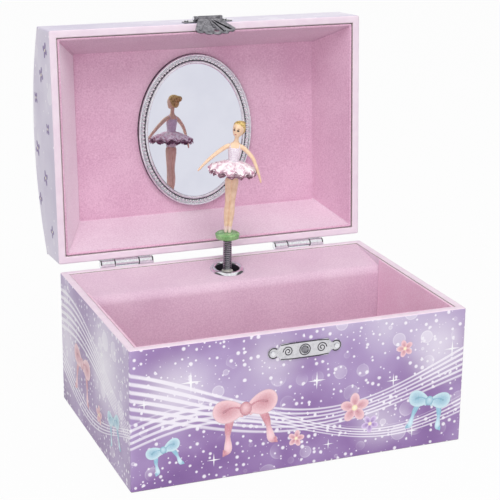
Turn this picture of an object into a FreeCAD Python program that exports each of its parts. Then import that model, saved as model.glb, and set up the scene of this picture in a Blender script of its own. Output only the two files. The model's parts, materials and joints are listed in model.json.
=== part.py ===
import FreeCAD, Part
import Sketcher
import math
import os

Vector = FreeCAD.Vector
X_AXIS = Vector(1, 0, 0)
Y_AXIS = Vector(0, 1, 0)
Z_AXIS = Vector(0, 0, 1)

# A musical jewellery box with a turning dancer. Millimetres and degrees. The box stands on z = 0 with
# its front at -y; the lid is drawn shut and then swung open about the hinge line.
DIMENSIONS = [
    ("box_width", 152, "outside width of base and lid"),
    ("box_depth", 107, "outside depth of base and lid"),
    ("base_height", 62, "height of the base rim"),
    ("wall_board", 3.2, "grey board of the walls"),
    ("bottom_board", 3, "grey board of the bottom"),
    ("paper", 0.3, "printed paper cover"),
    ("lining_card", 1, "flocked lining"),
    ("lining_gap", 0.3, "gap between wall and lining"),
    ("tray_pad", 1.6, "padded tray floor"),
    ("deck_run", 31, "back face to the front of the movement cover"),
    ("deck_card", 2, "card of the movement cover"),
    ("deck_drop", 0.6, "cover below the rim at the back"),
    ("deck_slope", 7, "fall of the cover towards the front"),
    ("deck_round", 4.5, "outer radius of the cover's front edge"),
    ("lid_wall", 22.2, "straight height of the lid walls"),
    ("lid_rise", 15.5, "rise of the domed top"),
    ("dome_card", 2, "card of the domed top"),
    ("lid_seam", 0.4, "gap between the shut lid and the base"),
    ("lid_open", 93.5, "opening angle of the lid"),
    ("lid_hollow", 24.6, "depth of the lid lining"),
    ("mirror_margin", 2.4, "floor of the lid lining above and below the mirror frame"),
    ("hinge_back", 2, "hinge line behind the back face"),
    ("hinge_rise", 0.9, "hinge line above the base rim"),
    ("hinge_span", 87.2, "distance between the two hinges"),
    ("hinge_width", 25.5, "length of a hinge"),
    ("hinge_leaf", 10, "height of a hinge leaf"),
    ("leaf_plate", 0.7, "sheet of a hinge leaf"),
    ("knuckle_radius", 1.65, "hinge knuckle"),
    ("hinge_pin", 0.7, "radius of the hinge pin"),
    ("mirror_width", 57.8, "outside width of the mirror frame"),
    ("mirror_height", 74, "outside height of the mirror frame"),
    ("mirror_border", 4.8, "width of the mirror frame"),
    ("mirror_relief", 2.4, "thickness of the mirror frame"),
    ("mirror_glass", 1.4, "thickness of the glass"),
    ("latch_fall", 9, "keeper stud below the base rim"),
    ("keeper_length", 33.6, "length of the keeper plate"),
    ("keeper_height", 7.4, "height of the keeper plate"),
    ("latch_sheet", 0.6, "sheet of the latch plates"),
    ("stud_radius", 1.7, "keeper stud"),
    ("stud_height", 0.7, "keeper stud in front of its plate"),
    ("hasp_rise", 3, "hasp pin above the lid edge"),
    ("hasp_off", 2, "hasp pin in front of the lid face"),
    ("hasp_length", 14.4, "pin to the scalloped edge"),
    ("hasp_sheet", 0.8, "sheet of the hasp"),
    ("hasp_droop", 24, "hang of the hasp over the open lid's edge"),
    ("spindle_back", 16, "spindle axis in front of the back face"),
    ("eyelet_flange", 7.2, "outer radius of the deck eyelet"),
    ("eyelet_hole", 5.7, "inner radius of the deck eyelet"),
    ("coil_radius", 1.7, "mean radius of the dancer's spring"),
    ("coil_wire", 1.1, "wire of the dancer's spring"),
    ("coil_pitch", 1.7, "pitch of the dancer's spring"),
    ("stand_height", 75.4, "underside of the dancer's stand"),
    ("stand_radius", 5.7, "dancer's stand"),
    ("stand_thick", 2.6, "dancer's stand"),
    ("doll_height", 53.2, "stand to the top of the head"),
    ("doll_lean", 4.4, "lean of the figure"),
    ("doll_heading", -21.7, "turn of the figure about the spindle"),
    ("tutu_radius", 11.8, "skirt"),
    ("barrel_axis", 27, "height of the spring barrel axis"),
    ("bed_plate", 1.8, "bedplate of the movement"),
    ("crown_teeth", 36, "crown wheel on the barrel"),
    ("pinion_teeth", 12, "pinions on the crown wheel"),
    ("crown_radius", 11.7, "mean radius of the crown teeth"),
    ("drum_radius", 9.6, "spring barrel"),
    ("drum_length", 13, "spring barrel"),
    ("arbor_radius", 2, "winding arbor"),
    ("cylinder_radius", 6.2, "pinned cylinder"),
    ("cylinder_length", 20.5, "pinned cylinder"),
    ("great_teeth", 36, "wheel on the cylinder"),
    ("small_teeth", 9, "pinion of the governor wheel"),
    ("spur_module", 0.45, "module of the cylinder wheel"),
    ("worm_teeth", 24, "governor wheel"),
    ("worm_module", 0.42, "module of the governor wheel"),
    ("worm_radius", 1.4, "pitch radius of the worm"),
    ("fan_radius", 4.4, "vanes of the governor"),
    ("comb_teeth", 18, "tongues of the comb"),
    ("stop_travel", 1.6, "travel of the stop wire"),
]

doc = FreeCAD.newDocument("BallerinaJewelleryBox")
sheet = doc.addObject("Spreadsheet::Sheet", "Dims")
for row, (alias, size, meaning) in enumerate(DIMENSIONS, start=1):
    sheet.set(f"A{row}", meaning)
    sheet.set(f"B{row}", str(size))
    sheet.setAlias(f"B{row}", alias)
doc.recompute()

# Positions that several pieces share, as expressions of the sheet.
WIDTH = "Dims.box_width"
DEPTH = "Dims.box_depth"
RIM = "Dims.base_height"
PAPER = "Dims.paper"
FRONT = "(-Dims.box_depth / 2)"
BACK = "(Dims.box_depth / 2)"
WALL = "(Dims.paper + Dims.wall_board)"
SIDE_IN = "(Dims.box_width / 2 - Dims.paper - Dims.wall_board)"
BACK_IN = "(Dims.box_depth / 2 - Dims.paper - Dims.wall_board)"
FLOOR = "Dims.bottom_board"
DECK_FRONT = "(Dims.box_depth / 2 - Dims.deck_run)"
DECK_BACK = f"({BACK_IN} - 0.2)"
DECK_TOP = f"({RIM} - Dims.deck_drop)"
LID_EDGE = "(Dims.base_height + Dims.lid_seam)"
SPRING_LINE = f"({LID_EDGE} + Dims.lid_wall)"
DOME_RADIUS = "((Dims.lid_rise ^ 2 + (Dims.box_depth / 2) ^ 2) / (2 * Dims.lid_rise))"
DOME_CENTRE = f"({SPRING_LINE} + Dims.lid_rise - {DOME_RADIUS})"
HINGE_Y = "(Dims.box_depth / 2 + Dims.hinge_back)"
HINGE_Z = "(Dims.base_height + Dims.hinge_rise)"
PIN_Y = f"({FRONT} - Dims.hasp_off)"
PIN_Z = f"({LID_EDGE} + Dims.hasp_rise)"
STUD_Z = f"({RIM} - Dims.latch_fall)"
SPINDLE_Y = "(Dims.box_depth / 2 - Dims.spindle_back)"
AXIS_Z = "Dims.barrel_axis"
BED_FRONT = f"({BACK_IN} - Dims.bed_plate)"
PINION_RADIUS = "(Dims.crown_radius * Dims.pinion_teeth / Dims.crown_teeth)"
CROWN_FACE = f"({SPINDLE_Y} + {PINION_RADIUS} + 1)"
GOVERNOR_Z = f"({AXIS_Z} - (Dims.great_teeth + Dims.small_teeth) * Dims.spur_module / 2)"
WORM_Z = f"({GOVERNOR_Z} - Dims.worm_teeth * Dims.worm_module / 2 - Dims.worm_radius)"
GREAT_X = "(16 + Dims.cylinder_length + 1.5)"
WORM_X = f"({GREAT_X} + 3.6)"
FRAME_X = f"({WORM_X} + Dims.fan_radius + 0.8)"
DOLL_Z = "(Dims.stand_height + Dims.stand_thick)"

nodes = []


def number(expression):
    """The present value of an expression of the sheet."""
    found = sheet.evalExpression(expression)
    return float(getattr(found, "Value", found))


def node(obj, label):
    """Names a finished sub-part, which becomes one file."""
    obj.Label = label
    nodes.append(obj)
    return obj


def place(obj, x="0", y="0", z="0", axis=None, angle="0"):
    """Binds an object's position, and a turn about one axis, to the sheet."""
    if axis is not None:
        obj.Placement = FreeCAD.Placement(Vector(), FreeCAD.Rotation(axis, 1))
        obj.setExpression("Placement.Rotation.Angle", angle)
    obj.setExpression("Placement.Base.x", x)
    obj.setExpression("Placement.Base.y", y)
    obj.setExpression("Placement.Base.z", z)
    return obj


def place_on_lid(obj, x="0", y="0", z="0", droop="0"):
    """Swings an object, placed where it is when the lid is shut, open with the lid."""
    ahead = f"({y} - {HINGE_Y})"
    above = f"({z} - {HINGE_Z})"
    turned_y = f"{HINGE_Y} + {ahead} * cos(Dims.lid_open) + {above} * sin(Dims.lid_open)"
    turned_z = f"{HINGE_Z} - {ahead} * sin(Dims.lid_open) + {above} * cos(Dims.lid_open)"
    return place(obj, x, turned_y, turned_z, X_AXIS, f"{droop} - Dims.lid_open")


def box(name, length, width, height, x, y, z):
    """A block whose low corner is at x, y, z."""
    obj = doc.addObject("Part::Box", name)
    obj.setExpression("Length", length)
    obj.setExpression("Width", width)
    obj.setExpression("Height", height)
    return place(obj, x, y, z)


def centred_box(name, length, width, height, y, z):
    """A block centred on x = 0."""
    return box(name, length, width, height, f"-({length}) / 2", y, z)


ROD_TURNS = {"x": (Y_AXIS, "90"), "y": (X_AXIS, "-90"), "-y": (X_AXIS, "90"), "z": (None, "0")}


def rod(name, radius, length, x, y, z, along="z"):
    """A round bar that starts at x, y, z and runs along one axis."""
    obj = doc.addObject("Part::Cylinder", name)
    obj.setExpression("Radius", radius)
    obj.setExpression("Height", length)
    axis, angle = ROD_TURNS[along]
    return place(obj, x, y, z, axis, angle)


def peg(name, sides, radius, length, x, y, z, along="z"):
    """A small fastener's bar, drawn with flat sides."""
    obj = doc.addObject("Part::Prism", name)
    obj.Polygon = sides
    obj.setExpression("Circumradius", radius)
    obj.setExpression("Height", length)
    axis, angle = ROD_TURNS[along]
    return place(obj, x, y, z, axis, angle)


def cut(name, base, *tools):
    """A base with one or more tools taken away."""
    for step, tool in enumerate(tools):
        obj = doc.addObject("Part::Cut", f"{name}_{step}")
        obj.Base = base
        obj.Tool = tool
        base = obj
    return base


def common(name, first, second):
    obj = doc.addObject("Part::Common", name)
    obj.Base = first
    obj.Tool = second
    return obj


def fuse(name, *pieces):
    obj = doc.addObject("Part::MultiFuse", name)
    obj.Shapes = list(pieces)
    return obj


def group(name, *pieces):
    """Like pieces that stay separate solids."""
    obj = doc.addObject("Part::Compound", name)
    obj.Links = list(pieces)
    return obj


def origin_part(body, role):
    return next(part for part in body.Origin.OriginFeatures if part.Role == role)


def new_body(name):
    body = doc.addObject("PartDesign::Body", name)
    doc.recompute()
    return body


def pin_point(drawing, curve, end, x, y):
    """Holds one point of a sketch at x, y from its origin."""
    for kind, expression in (("DistanceX", x), ("DistanceY", y)):
        index = drawing.addConstraint(
            Sketcher.Constraint(kind, -1, 1, curve, end, number(expression))
        )
        drawing.setExpression(f"Constraints[{index}]", expression)


def outline(body, plane, name, *points, offset="0"):
    """A closed sketch. Each point is (x, y), or (x, y, turn, cx, cy) to leave it by an arc about cx, cy."""
    drawing = body.newObject("Sketcher::SketchObject", name)
    drawing.AttachmentSupport = [(origin_part(body, plane), "")]
    drawing.MapMode = "FlatFace"
    drawing.setExpression("AttachmentOffset.Base.z", offset)
    ends = []
    for index, point in enumerate(points):
        start = Vector(number(point[0]), number(point[1]), 0)
        following = points[(index + 1) % len(points)]
        stop = Vector(number(following[0]), number(following[1]), 0)
        if len(point) == 2:
            curve = drawing.addGeometry(Part.LineSegment(start, stop), False)
            ends.append((curve, 1, 2))
            continue
        centre = Vector(number(point[3]), number(point[4]), 0)
        first, last = (start, stop) if point[2] == "ccw" else (stop, start)
        circle = Part.Circle(centre, Z_AXIS, (first - centre).Length)
        span = Part.ArcOfCircle(
            circle,
            math.atan2(first.y - centre.y, first.x - centre.x),
            math.atan2(last.y - centre.y, last.x - centre.x),
        )
        curve = drawing.addGeometry(span, False)
        ends.append((curve, 1, 2) if point[2] == "ccw" else (curve, 2, 1))
        level = abs(stop.x - start.x) > abs(stop.y - start.y)
        kind, expression = ("DistanceY", point[4]) if level else ("DistanceX", point[3])
        constraint = Sketcher.Constraint(kind, -1, 1, curve, 3, number(expression))
        index = drawing.addConstraint(constraint)
        drawing.setExpression(f"Constraints[{index}]", expression)
    for index, point in enumerate(points):
        curve, start_end, _ = ends[index]
        previous, _, stop_end = ends[index - 1]
        drawing.addConstraint(
            Sketcher.Constraint("Coincident", previous, stop_end, curve, start_end)
        )
        pin_point(drawing, curve, start_end, point[0], point[1])
    return drawing


def circle_sketch(body, plane, name, radius, x="0", y="0"):
    drawing = body.newObject("Sketcher::SketchObject", name)
    drawing.AttachmentSupport = [(origin_part(body, plane), "")]
    drawing.MapMode = "FlatFace"
    centre = Vector(number(x), number(y), 0)
    drawing.addGeometry(Part.Circle(centre, Z_AXIS, number(radius)), False)
    index = drawing.addConstraint(Sketcher.Constraint("Radius", 0, number(radius)))
    drawing.setExpression(f"Constraints[{index}]", radius)
    pin_point(drawing, 0, 3, x, y)
    return drawing


def pad(body, drawing, length, midplane=False, reverse=False):
    feature = body.newObject("PartDesign::Pad", f"{drawing.Name}_pad")
    feature.Profile = drawing
    feature.setExpression("Length", length)
    feature.Midplane = midplane
    feature.Reversed = reverse
    return feature


def pocket(body, drawing, length, midplane=False, reverse=False):
    feature = body.newObject("PartDesign::Pocket", f"{drawing.Name}_pocket")
    feature.Profile = drawing
    feature.setExpression("Length", length)
    feature.Midplane = midplane
    feature.Reversed = reverse
    return feature


def revolve(body, drawing, axis):
    feature = body.newObject("PartDesign::Revolution", f"{drawing.Name}_turned")
    feature.Profile = drawing
    feature.ReferenceAxis = (origin_part(body, axis), [""])
    feature.Angle = 360
    return feature


def repeat(body, feature, axis, count, angle="360"):
    """A polar pattern of one feature about an axis of its body."""
    pattern = body.newObject("PartDesign::PolarPattern", f"{feature.Name}_ring")
    pattern.Originals = [feature]
    pattern.Axis = (origin_part(body, axis), [""])
    pattern.setExpression("Angle", angle)
    pattern.setExpression("Occurrences", count)
    body.Tip = pattern
    return pattern


def rectangle(body, plane, name, low_x, low_y, high_x, high_y):
    corners = ((low_x, low_y), (high_x, low_y), (high_x, high_y), (low_x, high_y))
    return outline(body, plane, name, *corners)


def nail(name, x, y, z, along, length="2.8"):
    """A flat-headed tack; y is the face its head lies on and along points into the wood."""
    outward = "-" if along == "y" else "+"
    head = peg(f"{name}_head", 12, "1.1", "0.5", x, f"{y} {outward} 0.5", z, along)
    shank = peg(f"{name}_shank", 6, "0.5", f"0.5 + {length}", x, f"{y} {outward} 0.5", z, along)
    return fuse(name, head, shank)


# Base: four walls on a bottom board, covered with printed paper.
keeper_nails = group(
    "keeper_nail_set",
    nail("keeper_nail_left", "-Dims.keeper_length / 2 + 2.4", f"{FRONT} - Dims.latch_sheet", STUD_Z, "y"),
    nail("keeper_nail_right", "Dims.keeper_length / 2 - 2.4", f"{FRONT} - Dims.latch_sheet", STUD_Z, "y"),
)
leaf_face = f"({BACK} + Dims.leaf_plate)"
base_nail_z = f"{RIM} - Dims.hinge_leaf * 0.62"
lid_nail_z = f"{LID_EDGE} + Dims.hinge_leaf * 0.62"
nail_columns = {
    "a": "-Dims.hinge_span / 2 - 8",
    "b": "-Dims.hinge_span / 2 + 8",
    "c": "Dims.hinge_span / 2 - 8",
    "d": "Dims.hinge_span / 2 + 8",
}
base_nails = group(
    "base_nail_set",
    *[nail(f"base_nail_{key}", x, leaf_face, base_nail_z, "-y") for key, x in nail_columns.items()],
)
lid_nails = group(
    "lid_nail_set",
    *[nail(f"lid_nail_{key}", x, leaf_face, lid_nail_z, "-y") for key, x in nail_columns.items()],
)
bed_corners = {
    "a": ("-14", "11"),
    "b": ("-14", "50"),
    "c": (f"{FRAME_X} + 3.4", "50"),
    "d": ("27", "11"),
}


def bed_screw(key, x, z):
    head = peg(f"bed_screw_head_{key}", 12, "2", "1.2", x, f"{BED_FRONT} - 1.2", z, "y")
    shank = peg(f"bed_screw_shank_{key}", 6, "1.1", "Dims.bed_plate + 3", x, f"{BED_FRONT} - 0.6", z, "y")
    return fuse(f"bed_screw_{key}", head, shank)


bed_screws = group("bed_screw_set", *[bed_screw(key, *spot) for key, spot in bed_corners.items()])
key_hole = rod("key_hole", "Dims.arbor_radius + 1.4", f"{WALL} + 6", "0", f"{BACK} + 3", AXIS_Z, "-y")

inner_width = f"{WIDTH} - 2 * {PAPER}"
wall_height = f"{RIM} - {PAPER} - {FLOOR}"
front_in = f"{FRONT} + {PAPER}"
front_block = centred_box("front_block", inner_width, "Dims.wall_board", wall_height, front_in, FLOOR)
node(cut("front_drilled", front_block, keeper_nails), "base_front_wall")
back_block = centred_box("back_block", inner_width, "Dims.wall_board", wall_height, BACK_IN, FLOOR)
node(cut("back_drilled", back_block, base_nails, bed_screws, key_hole), "base_back_wall")
side_depth = f"2 * {BACK_IN}"
left_x = f"-{WIDTH} / 2 + {PAPER}"
left_wall = box("left_wall", "Dims.wall_board", side_depth, wall_height, left_x, f"-{BACK_IN}", FLOOR)
node(left_wall, "base_left_wall")
right_wall = box("right_wall", "Dims.wall_board", side_depth, wall_height, SIDE_IN, f"-{BACK_IN}", FLOOR)
node(right_wall, "base_right_wall")
bottom = centred_box("bottom", inner_width, f"{DEPTH} - 2 * {PAPER}", FLOOR, front_in, "0")
node(bottom, "base_bottom_board")

cover_block = centred_box("cover_block", WIDTH, DEPTH, f"{RIM} - {PAPER}", FRONT, PAPER)
inner_depth = f"{DEPTH} - 2 * {PAPER}"
cover_hollow = centred_box("cover_hollow", inner_width, inner_depth, f"{RIM} - {PAPER}", front_in, "0")
cover_mouth = centred_box("cover_mouth", f"2 * {SIDE_IN}", f"2 * {BACK_IN}", RIM, f"-{BACK_IN}", "1")
node(
    cut("cover_cut", cover_block, cover_hollow, cover_mouth, keeper_nails, base_nails, key_hole),
    "base_paper_cover",
)

# Jewellery tray: a flocked floor and three sides in front of the movement cover.
tray_side = f"({SIDE_IN} - Dims.lining_gap)"
tray_front = f"(-{BACK_IN} + Dims.lining_gap)"
tray_run = f"{DECK_FRONT} - {tray_front}"
tray_height = f"{RIM} - 0.4 - {FLOOR}"
tray_block = centred_box("tray_block", f"2 * {tray_side}", tray_run, tray_height, tray_front, FLOOR)
tray_hollow = centred_box(
    "tray_hollow",
    f"2 * {tray_side} - 2 * Dims.lining_card",
    DEPTH,
    RIM,
    f"{tray_front} + Dims.lining_card",
    f"{FLOOR} + Dims.tray_pad",
)
node(cut("tray_cut", tray_block, tray_hollow), "tray_lining")

# Movement cover: one bent card, sloping to a rounded front edge, with a hole for the dancer's spring.
fall = "tan(Dims.deck_slope)"
round_y = f"({DECK_FRONT} + Dims.deck_round)"
round_z = f"({DECK_TOP} - ({DECK_BACK} - {round_y}) * {fall} - Dims.deck_round / cos(Dims.deck_slope))"
inner_round = "(Dims.deck_round - Dims.deck_card)"
under_back = f"{DECK_TOP} - Dims.deck_card / cos(Dims.deck_slope)"
cover = new_body("cover_card")
cover_profile = outline(
    cover,
    "YZ_Plane",
    "cover_profile",
    (DECK_BACK, DECK_TOP),
    (
        f"{round_y} - Dims.deck_round * sin(Dims.deck_slope)",
        f"{round_z} + Dims.deck_round * cos(Dims.deck_slope)",
        "ccw",
        round_y,
        round_z,
    ),
    (DECK_FRONT, round_z),
    (DECK_FRONT, f"{FLOOR}"),
    (f"{DECK_FRONT} + Dims.deck_card", f"{FLOOR}"),
    (f"{DECK_FRONT} + Dims.deck_card", round_z, "cw", round_y, round_z),
    (
        f"{round_y} - {inner_round} * sin(Dims.deck_slope)",
        f"{round_z} + {inner_round} * cos(Dims.deck_slope)",
    ),
    (DECK_BACK, under_back),
)
pad(cover, cover_profile, f"2 * {SIDE_IN} - 0.2", midplane=True)
deck_z = f"({DECK_TOP} - ({DECK_BACK} - {SPINDLE_Y}) * {fall})"
eyelet_neck = "(Dims.eyelet_hole + 0.5)"
eyelet_bore = doc.addObject("Part::Cylinder", "eyelet_bore")
eyelet_bore.setExpression("Radius", eyelet_neck)
eyelet_bore.setExpression("Height", "8")
place(
    eyelet_bore,
    "0",
    f"{SPINDLE_Y} + 4 * sin(Dims.deck_slope)",
    f"{deck_z} - 4 * cos(Dims.deck_slope)",
    X_AXIS,
    "Dims.deck_slope",
)
STOP_X = "4.6"
STOP_Y = f"({BACK_IN} - 1.1)"
stop_notch = box("stop_notch", "2.2", "4", "8", f"{STOP_X} - 1.1", f"{STOP_Y} - 1.1", f"{DECK_TOP} - 5")
node(cut("cover_pierced", cover, eyelet_bore, stop_notch), "movement_cover")

eyelet = new_body("eyelet")
eyelet_profile = outline(
    eyelet,
    "XZ_Plane",
    "eyelet_profile",
    ("Dims.eyelet_hole", "-3"),
    (eyelet_neck, "-3"),
    (eyelet_neck, "0"),
    ("Dims.eyelet_flange", "0"),
    ("Dims.eyelet_flange - 0.4", "1.2"),
    ("Dims.eyelet_hole + 0.1", "1.5"),
)
revolve(eyelet, eyelet_profile, "Z_Axis")
place(eyelet, "0", SPINDLE_Y, deck_z, X_AXIS, "Dims.deck_slope")
node(eyelet, "spindle_eyelet")

# Keeper on the front of the base.
keeper = new_body("keeper")
waist_x = "(Dims.keeper_length / 2 - 4.6)"
lobe_x = "(Dims.keeper_length / 2 - 2.6)"
half_keeper = "(Dims.keeper_height / 2)"
keeper_profile = outline(
    keeper,
    "XZ_Plane",
    "keeper_profile",
    (f"-{waist_x} + 1.6", f"-{half_keeper}"),
    (f"{waist_x} - 1.6", f"-{half_keeper}"),
    (waist_x, "-1.5", "ccw", lobe_x, "0"),
    (waist_x, "1.5"),
    (f"{waist_x} - 1.6", half_keeper),
    (f"-{waist_x} + 1.6", half_keeper),
    (f"-{waist_x}", "1.5", "ccw", f"-{lobe_x}", "0"),
    (f"-{waist_x}", "-1.5"),
)
pad(keeper, keeper_profile, "Dims.latch_sheet")
place(keeper, "0", FRONT, STUD_Z)
stud_foot = f"{FRONT} - Dims.latch_sheet"
stud_tail = rod("stud_tail", "0.8", "Dims.latch_sheet + 0.2", "0", stud_foot, STUD_Z, "y")
node(cut("keeper_pierced", keeper, keeper_nails, stud_tail), "latch_keeper")
stud = new_body("stud")
stud_profile = outline(
    stud,
    "XZ_Plane",
    "stud_profile",
    ("0", "-Dims.latch_sheet"),
    ("0.8", "-Dims.latch_sheet"),
    ("0.8", "0"),
    ("Dims.stud_radius", "0"),
    ("Dims.stud_radius", "Dims.stud_height * 0.55"),
    ("Dims.stud_radius * 0.6", "Dims.stud_height"),
    ("0", "Dims.stud_height"),
)
revolve(stud, stud_profile, "Z_Axis")
place(stud, "0", f"{FRONT} - Dims.latch_sheet", STUD_Z, X_AXIS, "90")
node(stud, "latch_stud")
node(keeper_nails, "keeper_nails")

# Hinges: each has a base leaf with two knuckles, a lid leaf with one between them, and a pin.
outer_knuckle = "(Dims.hinge_width * 0.27)"
middle_knuckle = "(Dims.hinge_width * 0.46 - 0.3)"
hinge_reach = "(Dims.knuckle_radius + 0.5)"


def hinge_centre(side):
    return f"({side} * Dims.hinge_span / 2)"


def base_leaf(name, side):
    middle = hinge_centre(side)
    left = f"{middle} - Dims.hinge_width / 2"
    foot = f"{RIM} - Dims.hinge_leaf"
    height = f"{HINGE_Z} - {RIM} + Dims.hinge_leaf"
    plate = box(f"{name}_plate", "Dims.hinge_width", "Dims.leaf_plate", height, left, BACK, foot)
    notch = box(
        f"{name}_notch",
        f"{middle_knuckle} + 0.6",
        "4",
        "8",
        f"{middle} - {middle_knuckle} / 2 - 0.3",
        f"{BACK} - 1",
        f"{HINGE_Z} - {hinge_reach}",
    )
    first = rod(f"{name}_knuckle_a", "Dims.knuckle_radius", outer_knuckle, left, HINGE_Y, HINGE_Z, "x")
    second_x = f"{middle} + Dims.hinge_width / 2 - {outer_knuckle}"
    second = rod(f"{name}_knuckle_b", "Dims.knuckle_radius", outer_knuckle, second_x, HINGE_Y, HINGE_Z, "x")
    bore_length = "Dims.hinge_width + 2"
    bore = rod(f"{name}_bore", "Dims.hinge_pin", bore_length, f"{left} - 1", HINGE_Y, HINGE_Z, "x")
    blank = fuse(f"{name}_blank", cut(f"{name}_notched", plate, notch), first, second)
    return cut(f"{name}_bored", blank, bore, base_nails)


def lid_leaf(name, side):
    middle = hinge_centre(side)
    left = f"{middle} - Dims.hinge_width / 2"
    height = f"{LID_EDGE} - {HINGE_Z} + Dims.hinge_leaf"
    plate = box(f"{name}_plate", "Dims.hinge_width", "Dims.leaf_plate", height, left, BACK, HINGE_Z)
    first_x = f"{left} - 1"
    second_x = f"{middle} + Dims.hinge_width / 2 - {outer_knuckle} - 0.3"
    notch_size = (f"{outer_knuckle} + 1.3", "4", hinge_reach)
    first_notch = box(f"{name}_notch_a", *notch_size, first_x, f"{BACK} - 1", HINGE_Z)
    second_notch = box(f"{name}_notch_b", *notch_size, second_x, f"{BACK} - 1", HINGE_Z)
    start = f"{middle} - {middle_knuckle} / 2"
    knuckle = rod(f"{name}_knuckle", "Dims.knuckle_radius", middle_knuckle, start, HINGE_Y, HINGE_Z, "x")
    bore_radius = "Dims.hinge_pin + 0.06"
    bore = rod(f"{name}_bore", bore_radius, "Dims.hinge_width + 2", f"{left} - 1", HINGE_Y, HINGE_Z, "x")
    blank = fuse(f"{name}_blank", cut(f"{name}_notched", plate, first_notch, second_notch), knuckle)
    return cut(f"{name}_bored", blank, bore, lid_nails)


def hinge_rod(name, side):
    left = f"{hinge_centre(side)} - Dims.hinge_width / 2"
    return rod(name, "Dims.hinge_pin", "Dims.hinge_width", left, HINGE_Y, HINGE_Z, "x")


node(base_leaf("base_leaf_left", "-1"), "hinge_base_leaf_left")
node(base_leaf("base_leaf_right", "1"), "hinge_base_leaf_right")
hinge_rods = group("hinge_rods", hinge_rod("hinge_rod_left", "-1"), hinge_rod("hinge_rod_right", "1"))
node(hinge_rods, "hinge_pins")
node(base_nails, "hinge_base_nails")
node(place_on_lid(lid_leaf("lid_leaf_left", "-1")), "hinge_lid_leaf_left")
node(place_on_lid(lid_leaf("lid_leaf_right", "1")), "hinge_lid_leaf_right")
node(place_on_lid(group("lid_nail_group", lid_nails)), "hinge_lid_nails")

# Lid: walls and ends cut to the underside of the dome, a curved top, and the paper over all.
latch_face = f"({FRONT} - Dims.latch_sheet)"
lid_plate_z = f"({LID_EDGE} + 6.4)"
latch_nails = group(
    "latch_nail_set",
    nail("latch_nail_left", "-9.4", latch_face, lid_plate_z, "y"),
    nail("latch_nail_right", "9.4", latch_face, lid_plate_z, "y"),
)


def dome_bar(name, inset):
    """A bar along x whose top is the dome, inset from its outer face."""
    return rod(name, f"{DOME_RADIUS} - {inset}", WIDTH, f"-{WIDTH} / 2", "0", DOME_CENTRE, "x")


under_dome = dome_bar("under_dome", f"({PAPER} + Dims.dome_card)")
board_low = f"({LID_EDGE} + {PAPER})"
board_height = "Dims.lid_wall + Dims.lid_rise"
lid_front = centred_box("lid_front", inner_width, "Dims.wall_board", board_height, front_in, board_low)
lid_front_cut = cut("lid_front_drilled", common("lid_front_topped", lid_front, under_dome), latch_nails)
node(place_on_lid(lid_front_cut), "lid_front_wall")
lid_back = centred_box("lid_back", inner_width, "Dims.wall_board", board_height, BACK_IN, board_low)
lid_back_cut = cut("lid_back_drilled", common("lid_back_topped", lid_back, under_dome), lid_nails)
node(place_on_lid(lid_back_cut), "lid_back_wall")
end_depth = f"2 * {BACK_IN}"
lid_left = box(
    "lid_left", "Dims.wall_board", end_depth, board_height, left_x, f"-{BACK_IN}", board_low
)
node(place_on_lid(common("lid_left_topped", lid_left, under_dome)), "lid_left_end")
lid_right = box("lid_right", "Dims.wall_board", end_depth, board_height, SIDE_IN, f"-{BACK_IN}", board_low)
node(place_on_lid(common("lid_right_topped", lid_right, under_dome)), "lid_right_end")

dome_block = centred_box(
    "dome_block", inner_width, f"{DEPTH} - 2 * {PAPER}", "40", f"{FRONT} + {PAPER}", f"{SPRING_LINE} - 8"
)
dome = cut("dome_sheet", common("dome_topped", dome_block, dome_bar("paper_under", PAPER)), under_dome)
node(place_on_lid(dome), "lid_dome")

wrap_block = centred_box("wrap_block", WIDTH, DEPTH, board_height, FRONT, LID_EDGE)
wrap_solid = common("wrap_solid", wrap_block, dome_bar("dome_outside", "0"))
wrap_core_block = centred_box(
    "wrap_core_block", inner_width, f"{DEPTH} - 2 * {PAPER}", board_height, f"{FRONT} + {PAPER}", board_low
)
wrap_core = common("wrap_core", wrap_core_block, dome_bar("dome_inside", PAPER))
wrap_low = f"{LID_EDGE} - 2"
wrap_mouth = centred_box("wrap_mouth", f"2 * {SIDE_IN}", side_depth, "4", f"-{BACK_IN}", wrap_low)
wrap = cut("wrap_cut", wrap_solid, wrap_core, wrap_mouth, latch_nails, lid_nails)
node(place_on_lid(wrap), "lid_paper_cover")

# Lid lining: a formed flocked shell with drafted sides.
lining_low = f"({LID_EDGE} + 0.2)"


def lining_block(name, side, back, low, top, inset):
    """A drafted block standing on its mouth, narrower at the top."""
    obj = doc.addObject("Part::Wedge", name)
    obj.setExpression("Xmin", f"-({side})")
    obj.setExpression("Xmax", side)
    obj.setExpression("X2min", f"-({side}) + {inset}")
    obj.setExpression("X2max", f"{side} - {inset}")
    obj.setExpression("Zmin", f"-({back})")
    obj.setExpression("Zmax", back)
    obj.setExpression("Z2min", f"-({back}) + {inset}")
    obj.setExpression("Z2max", f"{back} - {inset}")
    obj.setExpression("Ymin", "0")
    obj.setExpression("Ymax", top)
    return place(obj, "0", "0", low, X_AXIS, "90")


lid_side = f"({SIDE_IN} - Dims.lining_gap)"
lid_depth = f"({BACK_IN} - Dims.lining_gap)"
lining_draft = f"({lid_depth} - Dims.lining_card - Dims.mirror_height / 2 - Dims.mirror_margin)"
lining_outside = lining_block(
    "lining_outside", lid_side, lid_depth, lining_low, "Dims.lid_hollow + 0.8", lining_draft
)
lining_inside = lining_block(
    "lining_inside",
    f"{lid_side} - Dims.lining_card",
    f"{lid_depth} - Dims.lining_card",
    lining_low,
    "Dims.lid_hollow - 0.2",
    lining_draft,
)
node(place_on_lid(cut("lining_cut", lining_outside, lining_inside)), "lid_lining")

# Oval mirror in a raised frame on the lining's floor.
mirror_z = f"({LID_EDGE} + Dims.lid_hollow)"


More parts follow.
